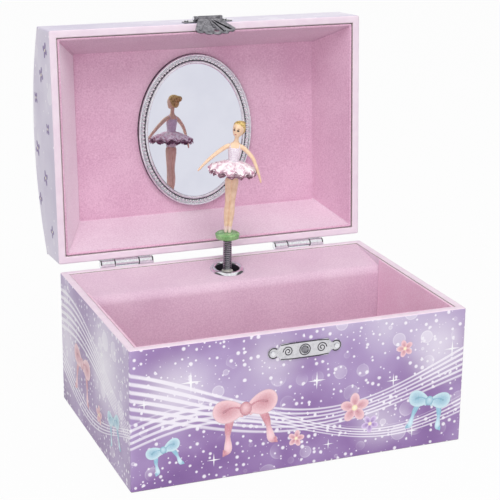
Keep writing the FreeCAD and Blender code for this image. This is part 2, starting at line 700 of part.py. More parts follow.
def oval_block(name, inset, thickness, z):
    """An upright oval block; inset is from the outside of the mirror frame."""
    ring = doc.addObject("Part::Ellipse", f"{name}_edge")
    ring.setExpression("MajorRadius", f"Dims.mirror_height / 2 - {inset}")
    ring.setExpression("MinorRadius", f"Dims.mirror_width / 2 - {inset}")
    place(ring, "0", "0", z, Z_AXIS, "90")
    obj = doc.addObject("Part::Extrusion", name)
    obj.Base = ring
    obj.DirMode = "Custom"
    obj.Dir = Z_AXIS
    obj.Solid = True
    obj.setExpression("LengthFwd", thickness)
    return obj


oval_low = f"{mirror_z} - Dims.mirror_relief"
glass_low = f"{mirror_z} - Dims.mirror_glass"
frame_blank = oval_block("frame_blank", "0", "Dims.mirror_relief", oval_low)
frame_window = oval_block("frame_window", "Dims.mirror_border", "20", f"{mirror_z} - 10")
frame_rebate = oval_block("frame_rebate", "(Dims.mirror_border - 1.2)", "8", glass_low)
node(place_on_lid(cut("frame_cut", frame_blank, frame_window, frame_rebate)), "mirror_frame")
glass = oval_block("glass", "(Dims.mirror_border - 1.2)", "Dims.mirror_glass", glass_low)
node(place_on_lid(group("glass_piece", glass)), "mirror_glass")

# Latch on the lid: a plate with two ears, a pin, and a ribbed fan-shaped hasp that falls over the keeper.
PIN_RADIUS = "0.55"
latch_plate = new_body("latch_plate")
latch_outline = outline(
    latch_plate,
    "XZ_Plane",
    "latch_outline",
    ("-11.6", "1.8"),
    ("11.6", "1.8"),
    ("11.6", "6.4"),
    ("8.4", "9.2"),
    ("-8.4", "9.2"),
    ("-11.6", "6.4"),
)
pad(latch_plate, latch_outline, "Dims.latch_sheet")
place(latch_plate, "0", FRONT, LID_EDGE)


def latch_ear(name, x):
    arm = box(f"{name}_arm", "1.6", "Dims.hasp_off", "2.2", x, PIN_Y, f"{PIN_Z} - 1.1")
    return fuse(name, arm, rod(f"{name}_end", "1.1", "1.6", x, PIN_Y, PIN_Z, "x"))


ear_bore = rod("ear_bore", f"{PIN_RADIUS} + 0.05", "20", "-10", PIN_Y, PIN_Z, "x")
latch_blank = fuse("latch_blank", latch_plate, latch_ear("ear_left", "-6.8"), latch_ear("ear_right", "5.2"))
node(place_on_lid(cut("latch_bored", latch_blank, ear_bore, latch_nails)), "lid_latch_plate")
node(place_on_lid(group("latch_nail_group", latch_nails)), "lid_latch_nails")

pin_shaft = rod("pin_shaft", PIN_RADIUS, "14.6", "-7.3", "0", "0", "x")
pin_head_left = rod("pin_head_left", "0.95", "0.4", "-7.3", "0", "0", "x")
pin_head_right = rod("pin_head_right", "0.95", "0.4", "6.9", "0", "0", "x")
hasp_pin = fuse("hasp_pin_piece", pin_shaft, pin_head_left, pin_head_right)
node(place_on_lid(hasp_pin, "0", PIN_Y, PIN_Z, "Dims.hasp_droop"), "hasp_pin")


def fan_point(reach, across, angle):
    """A point of the hasp, measured out from its pin at an angle from straight down."""
    x = f"({reach}) * sin({angle}) + ({across}) * cos({angle})"
    z = f"-({reach}) * cos({angle}) + ({across}) * sin({angle})"
    return x, z


hasp = new_body("hasp_piece")
SCALLOPS = (42, 25.2, 8.4, -8.4, -25.2, -42)
scallop_points = []
for angle, following in zip(SCALLOPS, SCALLOPS[1:]):
    middle = (angle + following) / 2
    centre = fan_point("Dims.hasp_length * 0.9", "0", middle)
    scallop_points.append((*fan_point("Dims.hasp_length", "0", angle), "cw", *centre))
hasp_profile = outline(
    hasp,
    "XZ_Plane",
    "hasp_profile",
    ("-4.8", "-0.4"),
    ("4.8", "-0.4"),
    *scallop_points,
    fan_point("Dims.hasp_length", "0", SCALLOPS[-1]),
)
pad(hasp, hasp_profile, "Dims.hasp_sheet", midplane=True)
for index, angle in enumerate((-33.6, -16.8, 0, 16.8, 33.6)):
    end = "Dims.hasp_length * 0.66" if angle == 0 else "Dims.hasp_length * 0.95"
    corners = (("3.4", "-0.3"), (end, "-0.6"), (end, "0.6"), ("3.4", "0.3"))
    rib = outline(hasp, "XZ_Plane", f"hasp_rib_{index}", *[fan_point(r, w, angle) for r, w in corners])
    pad(hasp, rib, "Dims.hasp_sheet / 2 + 0.4")
pad(hasp, circle_sketch(hasp, "YZ_Plane", "hasp_knuckle", "1.1"), "9.6", midplane=True)
pocket(hasp, circle_sketch(hasp, "YZ_Plane", "hasp_bore", f"{PIN_RADIUS} + 0.05"), "20", midplane=True)
catch_hole = circle_sketch(hasp, "XZ_Plane", "hasp_catch", "1.3", "0", f"{STUD_Z} - {PIN_Z}")
pocket(hasp, catch_hole, "4", midplane=True)
node(place_on_lid(hasp, "0", PIN_Y, PIN_Z, "Dims.hasp_droop"), "latch_hasp")

# Dancer: a plastic figure and a pleated skirt on a round stand, carried by an upright coil spring.
SPINDLE_Z = "(Dims.barrel_axis + Dims.crown_radius)"
SPRING_FOOT = f"({SPINDLE_Z} + 20.9)"


def arc_crown(start, tangent, end):
    """The middle of the circular arc from start to end that leaves along tangent."""
    chord = end - start
    inward = chord - tangent * chord.dot(tangent)
    inward.normalize()
    radius = chord.Length ** 2 / (2 * chord.dot(inward))
    centre = start + inward * radius
    bulge = (start - centre) + (end - centre)
    bulge.normalize()
    return centre + bulge * radius


def arc_leaving(start, tangent, end):
    return Part.Arc(start, arc_crown(start, tangent, end), end).toShape()


def arc_arriving(start, end, tangent):
    return Part.Arc(start, arc_crown(end, tangent * -1, start), end).toShape()


def biarc(start, start_tangent, end, end_tangent):
    """Two arcs that join two points smoothly."""
    gap = end - start
    total = start_tangent + end_tangent
    spread = 2 * (1 - start_tangent.dot(end_tangent))
    root = math.sqrt(gap.dot(total) ** 2 + spread * gap.dot(gap))
    reach = (root - gap.dot(total)) / spread
    joint = (start + end + (start_tangent - end_tangent) * reach) * 0.5
    return [arc_leaving(start, start_tangent, joint), arc_arriving(joint, end, end_tangent)]


def coil_edges(radius, pitch, wire, length):
    """An upright coil from z = 0 to length, whose wire ends run straight up and down."""
    bend = 0.9
    slope = math.atan2(pitch, 2 * math.pi * radius)
    turn = math.pi / 2 - slope
    lead = wire + bend * math.sin(turn)
    turns = (length - 2 * lead) / pitch
    steps = math.ceil(turns * 4)

    def point(step):
        angle = 2 * math.pi * turns * step / steps
        height = lead + (length - 2 * lead) * step / steps
        return Vector(radius * math.cos(angle), radius * math.sin(angle), height)

    def tangent(step):
        angle = 2 * math.pi * turns * step / steps
        level = math.cos(slope)
        return Vector(-math.sin(angle) * level, math.cos(angle) * level, math.sin(slope))

    def level_part(step):
        way = tangent(step)
        way.z = 0
        way.normalize()
        return way

    low = point(0) - level_part(0) * bend * (1 - math.cos(turn)) - Z_AXIS * bend * math.sin(turn)
    high = point(steps) + level_part(steps) * bend * (1 - math.cos(turn)) + Z_AXIS * bend * math.sin(turn)
    edges = [Part.LineSegment(low - Z_AXIS * wire, low).toShape(), arc_leaving(low, Z_AXIS, point(0))]
    for step in range(steps):
        edges += biarc(point(step), tangent(step), point(step + 1), tangent(step + 1))
    edges.append(arc_arriving(point(steps), high, Z_AXIS))
    edges.append(Part.LineSegment(high, high + Z_AXIS * wire).toShape())
    return edges


def upright_ring(centre, radius, sides):
    """The corners of a level many-sided ring."""
    angles = [2 * math.pi * index / sides for index in range(sides)]
    return [centre + Vector(radius * math.cos(angle), radius * math.sin(angle), 0) for angle in angles]


def tube(edges, radius, start):
    """A five-sided wire swept along joined edges that start straight up."""
    corners = upright_ring(start, radius, 5)
    profile = Part.makePolygon([*corners, corners[0]])
    return Part.Wire(edges).makePipeShell([profile], True, False)


def own_gap(edges, wire):
    """The least gap between a coil and itself, measured on points along it."""
    points = []
    for edge in edges:
        points += edge.discretize(6)[:-1]
    apart = math.ceil(4 * wire / (points[20] - points[19]).Length)
    least = min(
        (points[i] - points[j]).Length for i in range(len(points)) for j in range(i + apart, len(points))
    )
    return least - wire


coil_length = number(f"Dims.stand_height - {SPRING_FOOT}")
coil_wire = number("Dims.coil_wire")
coil = coil_edges(number("Dims.coil_radius"), number("Dims.coil_pitch"), coil_wire, coil_length)
print(f"least gap of the coil to itself: {own_gap(coil, coil_wire):.2f} mm")
coil_start = coil[0].Vertexes[0].Point
spring = doc.addObject("Part::Feature", "dancer_coil")
spring.Shape = tube(coil, number("Dims.coil_wire / 2"), coil_start)
place(spring, "0", SPINDLE_Y, SPRING_FOOT)
node(spring, "dancer_spring")

SIZE = number("Dims.doll_height") / 53.2
LIMB_SIDES = 12
TRUNK_SIDES = 16


def spot(x, y, z):
    """A point of the figure, drawn upright and facing -y on its stand."""
    return Vector(x, y, z) * SIZE


def solid_of(faces):
    solid = Part.Solid(Part.Shell(faces))
    if solid.Volume < 0:
        solid.reverse()
    return solid


def skin(near, far):
    """Triangles between two rings of points."""
    faces = []
    for index in range(len(near)):
        beside = (index + 1) % len(near)
        first_half = (near[index], near[beside], far[index])
        second_half = (near[beside], far[beside], far[index])
        for corners in (first_half, second_half):
            faces.append(Part.Face(Part.makePolygon([*corners, corners[0]])))
    return faces


def through(rings):
    """A solid skinned over rings of points, with flat ends."""
    faces = [Part.Face(Part.makePolygon([*end, end[0]])) for end in (rings[0], rings[-1])]
    for near, far in zip(rings, rings[1:]):
        faces += skin(near, far)
    return solid_of(faces)


def limb(*joints):
    """A limb through round sections set across its run; each joint is (x, y, z, radius)."""
    rings = []
    for index, joint in enumerate(joints):
        before = joints[max(index - 1, 0)]
        after = joints[min(index + 1, len(joints) - 1)]
        along = spot(*after[:3]) - spot(*before[:3])
        along.normalize()
        across = Y_AXIS - along * Y_AXIS.dot(along)
        across.normalize()
        upward = along.cross(across)
        ring = []
        for step in range(LIMB_SIDES):
            angle = 2 * math.pi * step / LIMB_SIDES
            outward = across * math.cos(angle) + upward * math.sin(angle)
            ring.append(spot(*joint[:3]) + outward * joint[3] * SIZE)
        rings.append(ring)
    return through(rings)


def trunk(*levels):
    """A trunk through ovals; each level is (y, z, half width, half depth)."""
    rings = []
    for y, z, half_width, half_depth in levels:
        ring = []
        for step in range(TRUNK_SIDES):
            angle = 2 * math.pi * step / TRUNK_SIDES
            ring.append(spot(half_width * math.cos(angle), y + half_depth * math.sin(angle), z))
        rings.append(ring)
    return through(rings)


def ball(y, z, radius):
    """A round head, hair or bun as a trunk of level rings."""
    tilts = [math.radians(tilt) for tilt in (-75, -52, -28, -5, 18, 42, 65, 82)]
    return trunk(*[(y, z + radius * math.sin(tilt), *[radius * math.cos(tilt)] * 2) for tilt in tilts])


def leg(side):
    """One leg from the pointed toe to the hip."""
    toe = (side * 0.9, 0, -0.8, 0.7)
    ankle = (side * 0.9, 0, 3.4, 0.95)
    calf = (side * 1.1, 0.3, 9.5, 1.5)
    knee = (side * 1, 0, 14.5, 1.2)
    thigh = (side * 1.1, 0, 21, 1.7)
    hip = (side * 1.2, 0, 28, 2.1)
    return limb(toe, ankle, calf, knee, thigh, hip)


WAIST_RADIUS = 2.4
waist = trunk((0, 31.4, WAIST_RADIUS, WAIST_RADIUS), (0, 34.8, WAIST_RADIUS, WAIST_RADIUS))
hips = trunk((0, 26.5, 2.9, 2.3), (0, 29, 2.8, 2.35), (0, 31.8, 2.3, 2.2))
chest = trunk((0, 34.4, 2.3, 2.2), (0, 38.4, 3, 2.3), (0, 41, 3.3, 1.9), (0, 42.8, 2, 1.3))
neck = trunk((0.2, 42, 1.05, 1.05), (0.2, 46, 1.05, 1.05))
left_arm = limb((-1.8, 0, 41.2, 1.1), (-5.6, -0.2, 40, 1.05), (-11, -0.6, 36.7, 0.85), (-17.3, -1.4, 29, 0.5))
right_arm = limb((1.8, 0, 41.2, 1.1), (5.4, -0.3, 40, 1.05), (10.6, -0.9, 36.6, 0.85), (15, -1.6, 25, 0.5))
head = ball(-0.5, 48.4, 3.6)
hair = ball(0.5, 49.2, 3.9)
bun = ball(3.8, 50.6, 1.9)
figure_pieces = [chest, hips, waist, leg(-1), leg(1), neck, left_arm, right_arm, head, hair, bun]
figure = doc.addObject("Part::Feature", "figure")
figure.Shape = figure_pieces[0].multiFuse(figure_pieces[1:]).removeSplitter()
lean = FreeCAD.Rotation(Y_AXIS, number("Dims.doll_lean"))
heading = FreeCAD.Rotation(Z_AXIS, number("Dims.doll_heading"))
doll_place = FreeCAD.Placement(Vector(0, number(SPINDLE_Y), number(DOLL_Z)), heading.multiply(lean))
figure.Placement = doll_place
node(figure, "dancer_figure")


def pleated_skirt(radius, pleats):
    """A cone of cloth with radial pleats, open at the waist."""
    sectors = 2 * pleats

    def ring(reach, level, wave):
        points = []
        for index in range(sectors):
            angle = 2 * math.pi * index / sectors
            height = level + (wave if index % 2 else -wave)
            points.append(spot(reach * math.cos(angle), reach * math.sin(angle), height))
        return points

    rings = [
        ring(2, 34.4, 0),
        ring(radius * 0.55, 32.4, 0.35),
        ring(radius, 29.3, 0.9),
        ring(radius, 28.7, 0.9),
        ring(radius * 0.55, 31.6, 0.35),
        ring(2, 33.2, 0),
    ]
    faces = []
    for near, far in zip(rings, rings[1:] + rings[:1]):
        faces += skin(near, far)
    solid = solid_of(faces)
    hole = Part.makeCylinder(WAIST_RADIUS * SIZE, 12 * SIZE, spot(0, 0, 28))
    return solid.cut(hole)


tutu = doc.addObject("Part::Feature", "tutu")
tutu.Shape = pleated_skirt(number("Dims.tutu_radius"), 12)
tutu.Placement = doll_place
node(tutu, "dancer_tutu")

stand = new_body("stand")
stand_profile = outline(
    stand,
    "XZ_Plane",
    "stand_profile",
    ("0", "-4"),
    ("1.15", "-4"),
    ("1.15", "0"),
    ("Dims.stand_radius - 0.3", "0"),
    ("Dims.stand_radius", "Dims.stand_thick - 0.6"),
    ("Dims.stand_radius - 0.8", "Dims.stand_thick"),
    ("0", "Dims.stand_thick"),
)
revolve(stand, stand_profile, "Z_Axis")
place(stand, "0", SPINDLE_Y, "Dims.stand_height")
node(cut("stand_socketed", stand, figure), "dancer_stand")

# Movement: a bedplate on the back wall carries the spring barrel, pinned cylinder, comb and governor.
SEAT_Y = f"({SPINDLE_Y} + 0.4)"
COMB_LOW = f"({AXIS_Z} + Dims.cylinder_radius + 1.1)"
HEEL_LOW = f"({COMB_LOW} + 10)"
CYLINDER_X = "16"
LUG_X = f"({GREAT_X} - 2.6)"
EAR_X = f"({GREAT_X} + 2.6)"


def comb_screw(key, x):
    z = f"{HEEL_LOW} + 3.4"
    head = peg(f"comb_screw_head_{key}", 12, "1.6", "1", x, f"{SPINDLE_Y} - 1.4", z, "y")
    shank = peg(f"comb_screw_shank_{key}", 6, "0.9", "6", x, f"{SPINDLE_Y} - 1", z, "y")
    return fuse(f"comb_screw_{key}", head, shank)


comb_screws = group(
    "comb_screw_set",
    comb_screw("left", f"{CYLINDER_X} + 4"),
    comb_screw("right", f"{CYLINDER_X} + Dims.cylinder_length - 4"),
)


def bed_block(name, length, height, x, front, z):
    """A part of the bedplate casting that stands out from the plate."""
    return box(name, length, f"{BED_FRONT} - {front} + 0.5", height, x, front, z)


bed_slab = box("bed_slab", f"{FRAME_X} + 24", "Dims.bed_plate", "45", "-17", BED_FRONT, "8")
bed_seat = bed_block("bed_seat", "Dims.cylinder_length", "5.4", CYLINDER_X, SEAT_Y, f"{HEEL_LOW} + 0.6")
near_ear = bed_block("near_ear", "1.4", "6", "13.6", f"({SPINDLE_Y} - 3)", f"{AXIS_Z} - 3")
far_ear = bed_block("far_ear", "1.6", "6", EAR_X, f"({SPINDLE_Y} - 3)", f"{AXIS_Z} - 3")
bed_lug = bed_block("bed_lug", "1.4", "4", LUG_X, f"({SPINDLE_Y} - 2)", f"{GOVERNOR_Z} - 2")
bed_casting = fuse("bed_casting", bed_slab, bed_seat, near_ear, far_ear, bed_lug)
bed_tools = (
    rod("bed_arbor_bore", "Dims.arbor_radius + 0.06", "6", "0", f"{BED_FRONT} - 2", AXIS_Z, "y"),
    rod("bed_cylinder_bore", "1.06", "40", "12", SPINDLE_Y, AXIS_Z, "x"),
    rod("bed_lug_bore", "0.86", "6", f"{LUG_X} - 2", SPINDLE_Y, GOVERNOR_Z, "x"),
    rod("bed_worm_bore", "0.76", "6", WORM_X, f"{BED_FRONT} - 2", WORM_Z, "y"),
    bed_screws,
    comb_screws,
)
node(cut("bed_bored", bed_casting, *bed_tools), "movement_bedplate")
node(bed_screws, "movement_screws")
node(comb_screws, "comb_screws")

comb = new_body("comb_piece")
comb_right = f"{CYLINDER_X} + Dims.cylinder_length"
comb_blank = rectangle(comb, "XZ_Plane", "comb_blank", CYLINDER_X, COMB_LOW, comb_right, f"{HEEL_LOW} + 6")
pad(comb, comb_blank, "0.8", midplane=True)
tongue = "(Dims.cylinder_length / Dims.comb_teeth)"
slot_x = f"({CYLINDER_X} + {tongue})"
comb_slot = rectangle(
    comb, "XZ_Plane", "comb_slot", f"{slot_x} - 0.2", f"{COMB_LOW} - 1", f"{slot_x} + 0.2", HEEL_LOW
)
slot = pocket(comb, comb_slot, "2", midplane=True)
slots = comb.newObject("PartDesign::LinearPattern", "comb_slots")
slots.Originals = [slot]
slots.Direction = (origin_part(comb, "X_Axis"), [""])
slots.setExpression("Length", f"{tongue} * (Dims.comb_teeth - 2)")
slots.setExpression("Occurrences", "Dims.comb_teeth - 1")
comb.Tip = slots
place(comb, "0", SPINDLE_Y, "0")
node(cut("comb_drilled", comb, comb_screws), "comb")

bracket_z = f"({SPINDLE_Z} + 4.3)"
bracket_back = centred_box("bracket_back", "12", "2.4", "9", f"{BED_FRONT} - 2.4", bracket_z)
arm_front = f"({SPINDLE_Y} - 4)"
arm_length = f"{BED_FRONT} - {arm_front}"
lower_arm = centred_box("lower_arm", "8", arm_length, "1.6", arm_front, bracket_z)
upper_arm = centred_box("upper_arm", "8", arm_length, "1.6", arm_front, f"{bracket_z} + 7.4")
bracket_blank = fuse("bracket_blank", bracket_back, lower_arm, upper_arm)
spindle_bore = rod("spindle_bore", "1.56", "20", "0", SPINDLE_Y, f"{bracket_z} - 4")
node(cut("bracket_bored", bracket_blank, spindle_bore), "spindle_bracket")

bracket_low = f"({WORM_Z} - 2.2)"
frame_front = f"({SPINDLE_Y} - 7.3)"
frame_ear = box(
    "frame_ear",
    "1.4",
    f"{BED_FRONT} - {frame_front}",
    f"{GOVERNOR_Z} + 2.2 - {bracket_low}",
    FRAME_X,
    frame_front,
    bracket_low,
)
arm_length = f"{FRAME_X} + 1.4 - {WORM_X} + 2.2"
frame_arm = box(
    "frame_arm", arm_length, "1.4", "4.4", f"{WORM_X} - 2.2", frame_front, bracket_low
)
frame_wheel_bore = rod("frame_wheel_bore", "0.86", "6", f"{FRAME_X} - 2", SPINDLE_Y, GOVERNOR_Z, "x")
frame_worm_bore = rod("frame_worm_bore", "0.76", "5", WORM_X, f"{frame_front} - 2", WORM_Z, "y")
frame_blank = fuse("governor_blank", frame_ear, frame_arm)
node(cut("governor_bored", frame_blank, frame_wheel_bore, frame_worm_bore), "governor_frame")


def tooth(body, name, low, high, root, tip, angle, face, offset="0"):
    """One wheel tooth, drawn out along the body's own x axis and turned by an angle."""

    def turned(reach, across):
        x = f"({reach}) * cos({angle}) - ({across}) * sin({angle})"
        y = f"({reach}) * sin({angle}) + ({across}) * cos({angle})"
        return x, y

    corners = ((low, f"-{root} / 2"), (high, f"-{tip} / 2"), (high, f"{tip} / 2"), (low, f"{root} / 2"))
    drawing = outline(body, "XY_Plane", name, *[turned(*corner) for corner in corners], offset=offset)
    return pad(body, drawing, face, midplane=True)


# Spring barrel: a cup with crown teeth on its flange, a cap, the mainspring, and the arbor with its key.
barrel = new_body("barrel")
hub_z = f"-({BED_FRONT} - 0.3 - {CROWN_FACE})"
arbor_bore = "(Dims.arbor_radius + 0.06)"
cup_radius = "(Dims.drum_radius - 1)"
crown_in = "(Dims.crown_radius - 1.1)"
crown_out = "(Dims.crown_radius + 1.2)"
barrel_profile = outline(
    barrel,
    "XZ_Plane",
    "barrel_profile",
    (arbor_bore, hub_z),
    ("4.5", hub_z),
    ("4.5", "-2.2"),
    (crown_out, "-2.2"),
    (crown_out, "0"),
    ("Dims.drum_radius", "0"),
    ("Dims.drum_radius", "Dims.drum_length"),
    (cup_radius, "Dims.drum_length"),
    (cup_radius, "0.8"),
    (arbor_bore, "0.8"),
)
revolve(barrel, barrel_profile, "Z_Axis")
crown_tooth = outline(
    barrel,
    "YZ_Plane",
    "crown_tooth",
    ("-0.45", "-0.2"),
    ("0.45", "-0.2"),
    ("0.2", "1.8"),
    ("-0.2", "1.8"),
    offset=crown_in,
)
repeat(barrel, pad(barrel, crown_tooth, "2.2"), "Z_Axis", "Dims.crown_teeth")
place(barrel, "0", CROWN_FACE, AXIS_Z, X_AXIS, "90")
node(barrel, "spring_barrel")

cap = new_body("cap")
cap_profile = rectangle(
    cap, "XZ_Plane", "cap_profile", arbor_bore, "Dims.drum_length - 1.2", cup_radius, "Dims.drum_length"
)
revolve(cap, cap_profile, "Z_Axis")
place(cap, "0", CROWN_FACE, AXIS_Z, X_AXIS, "90")
node(cap, "barrel_cap")


def flat_spiral(inner, outer, strip, turns, steps):
    """The section of a wound strip, in straight steps."""

    def side(start):
        points = []
        for step in range(turns * steps + 1):
            angle = 2 * math.pi * step / steps
            radius = start + (outer - inner) * step / (turns * steps)
            points.append(Vector(radius * math.cos(angle), radius * math.sin(angle), 0))
        return points

    points = side(inner) + side(inner + strip)[::-1]
    return Part.Face(Part.makePolygon([*points, points[0]]))


mainspring = doc.addObject("Part::Feature", "mainspring_strip")
strip_section = flat_spiral(number("Dims.arbor_radius + 1.7"), number(f"{cup_radius} - 0.5"), 0.35, 5, 14)
mainspring.Shape = strip_section.extrude(Vector(0, 0, number("Dims.drum_length - 3")))
place(mainspring, "0", f"{CROWN_FACE} - 1.2", AXIS_Z, X_AXIS, "90")
node(mainspring, "mainspring")

arbor = new_body("arbor")
arbor_profile = outline(
    arbor,
    "XZ_Plane",
    "arbor_profile",
    ("0", f"-({BACK} - {CROWN_FACE}) - 8"),
    ("Dims.arbor_radius", f"-({BACK} - {CROWN_FACE}) - 8"),
    ("Dims.arbor_radius", "1.2"),
    ("Dims.arbor_radius + 1", "1.2"),
    ("Dims.arbor_radius + 1", "Dims.drum_length - 1.6"),
    ("Dims.arbor_radius", "Dims.drum_length - 1.6"),
    ("Dims.arbor_radius", "Dims.drum_length + 1.2"),
    ("0", "Dims.drum_length + 1.2"),
)
revolve(arbor, arbor_profile, "Z_Axis")
place(arbor, "0", CROWN_FACE, AXIS_Z, X_AXIS, "90")
node(arbor, "winding_arbor")

key = new_body("key_piece")
bow = outline(
    key,
    "XZ_Plane",
    "key_bow",
    ("-7", "7.6"),
    ("7", "7.6", "ccw", "7", "12.4"),
    ("7", "17.2"),
    ("-7", "17.2", "ccw", "-7", "12.4"),
)
pad(key, bow, "1.8", midplane=True)
pad(key, circle_sketch(key, "XY_Plane", "key_hub", "Dims.arbor_radius + 1.4"), "10")
for side in ("left", "right"):
    eye_x = "-7" if side == "left" else "7"
    pocket(key, circle_sketch(key, "XZ_Plane", f"key_eye_{side}", "2.6", eye_x, "12.4"), "6", midplane=True)
pocket(key, circle_sketch(key, "XY_Plane", "key_socket", "Dims.arbor_radius"), "5.4", reverse=True)
place(key, "0", f"{BACK} + 2.6", AXIS_Z, X_AXIS, "-90")
node(key, "winding_key")

# Spindle, cylinder and governor wheels.
PINION_ROOT = f"({PINION_RADIUS} - 1.1)"
PINION_TIP = f"({PINION_RADIUS} + 0.7)"
HALF_TOOTH = "180 / Dims.pinion_teeth"


def add_pinion(body, name):
    leaf = tooth(body, name, f"{PINION_ROOT} - 0.3", PINION_TIP, "0.95", "0.4", HALF_TOOTH, "1.8")
    return repeat(body, leaf, "Z_Axis", "Dims.pinion_teeth")


spindle = new_body("spindle_piece")
spindle_profile = outline(
    spindle,
    "XZ_Plane",
    "spindle_profile",
    ("0", "-1.5"),
    ("1.5", "-1.5"),
    ("1.5", "-0.9"),
    (PINION_ROOT, "-0.9"),
    (PINION_ROOT, "0.9"),
    ("1.5", "0.9"),
    ("1.5", "19.7"),
    ("2.6", "19.7"),
    ("2.6", "20.9"),
    ("1.15", "20.9"),
    ("1.15", "24.9"),
    ("0", "24.9"),
)
revolve(spindle, spindle_profile, "Z_Axis")
add_pinion(spindle, "spindle_leaf")
place(spindle, "0", SPINDLE_Y, SPINDLE_Z)
node(spindle, "dancer_spindle")

drum = new_body("cylinder_drum")
great_radius = "(Dims.great_teeth * Dims.spur_module / 2)"
great_root = f"({great_radius} - 0.6)"
drum_start = f"({CYLINDER_X} - Dims.crown_radius)"
great_start = f"({GREAT_X} - Dims.crown_radius)"
drum_end = f"({drum_start} + Dims.cylinder_length)"
drum_tail = f"({EAR_X} + 2.6 - Dims.crown_radius)"
drum_profile = outline(
    drum,
    "XZ_Plane",
    "drum_profile",
    ("0", "-1.5"),
    ("1", "-1.5"),
    ("1", "-0.9"),
    (PINION_ROOT, "-0.9"),
    (PINION_ROOT, "0.9"),
    ("1", "0.9"),
    ("1", drum_start),
    ("Dims.cylinder_radius", drum_start),
    ("Dims.cylinder_radius", drum_end),
    ("1", drum_end),
    ("1", great_start),
    (great_root, great_start),
    (great_root, f"{great_start} + 1.4"),
    ("1", f"{great_start} + 1.4"),
    ("1", drum_tail),
    ("0", drum_tail),
)
revolve(drum, drum_profile, "Z_Axis")
add_pinion(drum, "drum_leaf")
great_tooth = tooth(
    drum,
    "great_tooth",
    f"{great_root} - 0.3",
    f"{great_radius} + 0.4",
    "0.75",
    "0.3",
    "0",
    "1.4",
    offset=f"{great_start} + 0.7",
)
repeat(drum, great_tooth, "Z_Axis", "Dims.great_teeth")
place(drum, "Dims.crown_radius", SPINDLE_Y, AXIS_Z, Y_AXIS, "90")


def music_pin(index):
    """A pin of the cylinder; the pins are spread evenly over it and play no tune."""
    angle = f"{137.5 * index % 360}"
    x = f"{CYLINDER_X} + {tongue} * {index % 18 + 0.5}"
    reach = "(Dims.cylinder_radius - 0.4)"
    obj = doc.addObject("Part::Prism", f"music_pin_{index}")
    obj.Polygon = 4
    obj.Circumradius = 0.25
    obj.Height = 1.1
    return place(
        obj,
        x,
        f"{SPINDLE_Y} - {reach} * sin({angle})",
        f"{AXIS_Z} + {reach} * cos({angle})",
        X_AXIS,
        angle,
    )


node(fuse("pinned_drum", drum, *[music_pin(index) for index in range(18)]), "pinned_cylinder")

wheel = new_body("wheel_piece")
small_radius = "(Dims.small_teeth * Dims.spur_module / 2)"
small_root = f"({small_radius} - 0.55)"
worm_wheel_radius = "(Dims.worm_teeth * Dims.worm_module / 2)"
worm_wheel_root = f"({worm_wheel_radius} - 0.6)"
worm_wheel_x = f"({WORM_X} - {GREAT_X} - 0.7)"
wheel_profile = outline(
    wheel,
    "XZ_Plane",
    "wheel_profile",
    ("0", f"{LUG_X} - {GREAT_X} - 0.9"),
    ("0.8", f"{LUG_X} - {GREAT_X} - 0.9"),
    ("0.8", "-0.7"),
    (small_root, "-0.7"),
    (small_root, "0.7"),
    ("0.8", "0.7"),
    ("0.8", f"{worm_wheel_x} - 0.6"),
    (worm_wheel_root, f"{worm_wheel_x} - 0.6"),
    (worm_wheel_root, f"{worm_wheel_x} + 0.6"),
    ("0.8", f"{worm_wheel_x} + 0.6"),
    ("0.8", f"{FRAME_X} - {GREAT_X} + 0.9"),
    ("0", f"{FRAME_X} - {GREAT_X} + 0.9"),
)
revolve(wheel, wheel_profile, "Z_Axis")
small_leaf = tooth(
    wheel, "small_leaf", f"{small_root} - 0.3", f"{small_radius} + 0.4", "0.7", "0.3", "0", "1.4"
)
repeat(wheel, small_leaf, "Z_Axis", "Dims.small_teeth")
worm_tooth = tooth(
    wheel,
    "worm_tooth",
    f"{worm_wheel_root} - 0.3",
    f"{worm_wheel_radius} + 0.4",
    "0.65",
    "0.3",
    "180 / Dims.worm_teeth",
    "1.2",
    offset=worm_wheel_x,
)
repeat(wheel, worm_tooth, "Z_Axis", "Dims.worm_teeth")
place(wheel, f"{GREAT_X} + 0.7", SPINDLE_Y, GOVERNOR_Z, Y_AXIS, "90")
node(wheel, "governor_wheel")

fan = new_body("fan_piece")
worm_lead = "(pi * Dims.worm_module)"
fan_profile = outline(
    fan,
    "XZ_Plane",
    "fan_profile",
    ("0", "-7.9"),
    ("0.7", "-7.9"),
    ("0.7", "-4.4"),
    ("Dims.worm_radius - 0.5", "-4.4"),
    ("Dims.worm_radius - 0.5", "4.4"),
    ("0.7", "4.4"),
    ("0.7", f"{BED_FRONT} - {SPINDLE_Y} + 1.4"),
    ("0", f"{BED_FRONT} - {SPINDLE_Y} + 1.4"),
)
revolve(fan, fan_profile, "Z_Axis")
vane = rectangle(fan, "XZ_Plane", "vane", "-Dims.fan_radius", "5.9", "Dims.fan_radius", "9.3")
pad(fan, vane, "0.4", midplane=True)
place(fan, WORM_X, SPINDLE_Y, WORM_Z, X_AXIS, "-90")


def screw_thread(radius, lead, turns, steps):
    """A right-handed thread about the z axis, centred on z = 0, in flat-sided steps."""

    def section(step):
        angle = 2 * math.pi * step / steps + math.pi
        middle = lead * (step / steps - turns / 2)
        profile = ((-0.7, -0.35), (0.4, -0.15), (0.4, 0.15), (-0.7, 0.35))
        return [
            Vector((radius + out) * math.cos(angle), (radius + out) * math.sin(angle), middle + rise)
            for out, rise in profile
        ]

    sections = [section(step) for step in range(round(turns * steps) + 1)]
    faces = [Part.Face(Part.makePolygon([*end, end[0]])) for end in (sections[0], sections[-1])]
    for near, far in zip(sections, sections[1:]):
        faces += skin(near, far)
    return solid_of(faces)


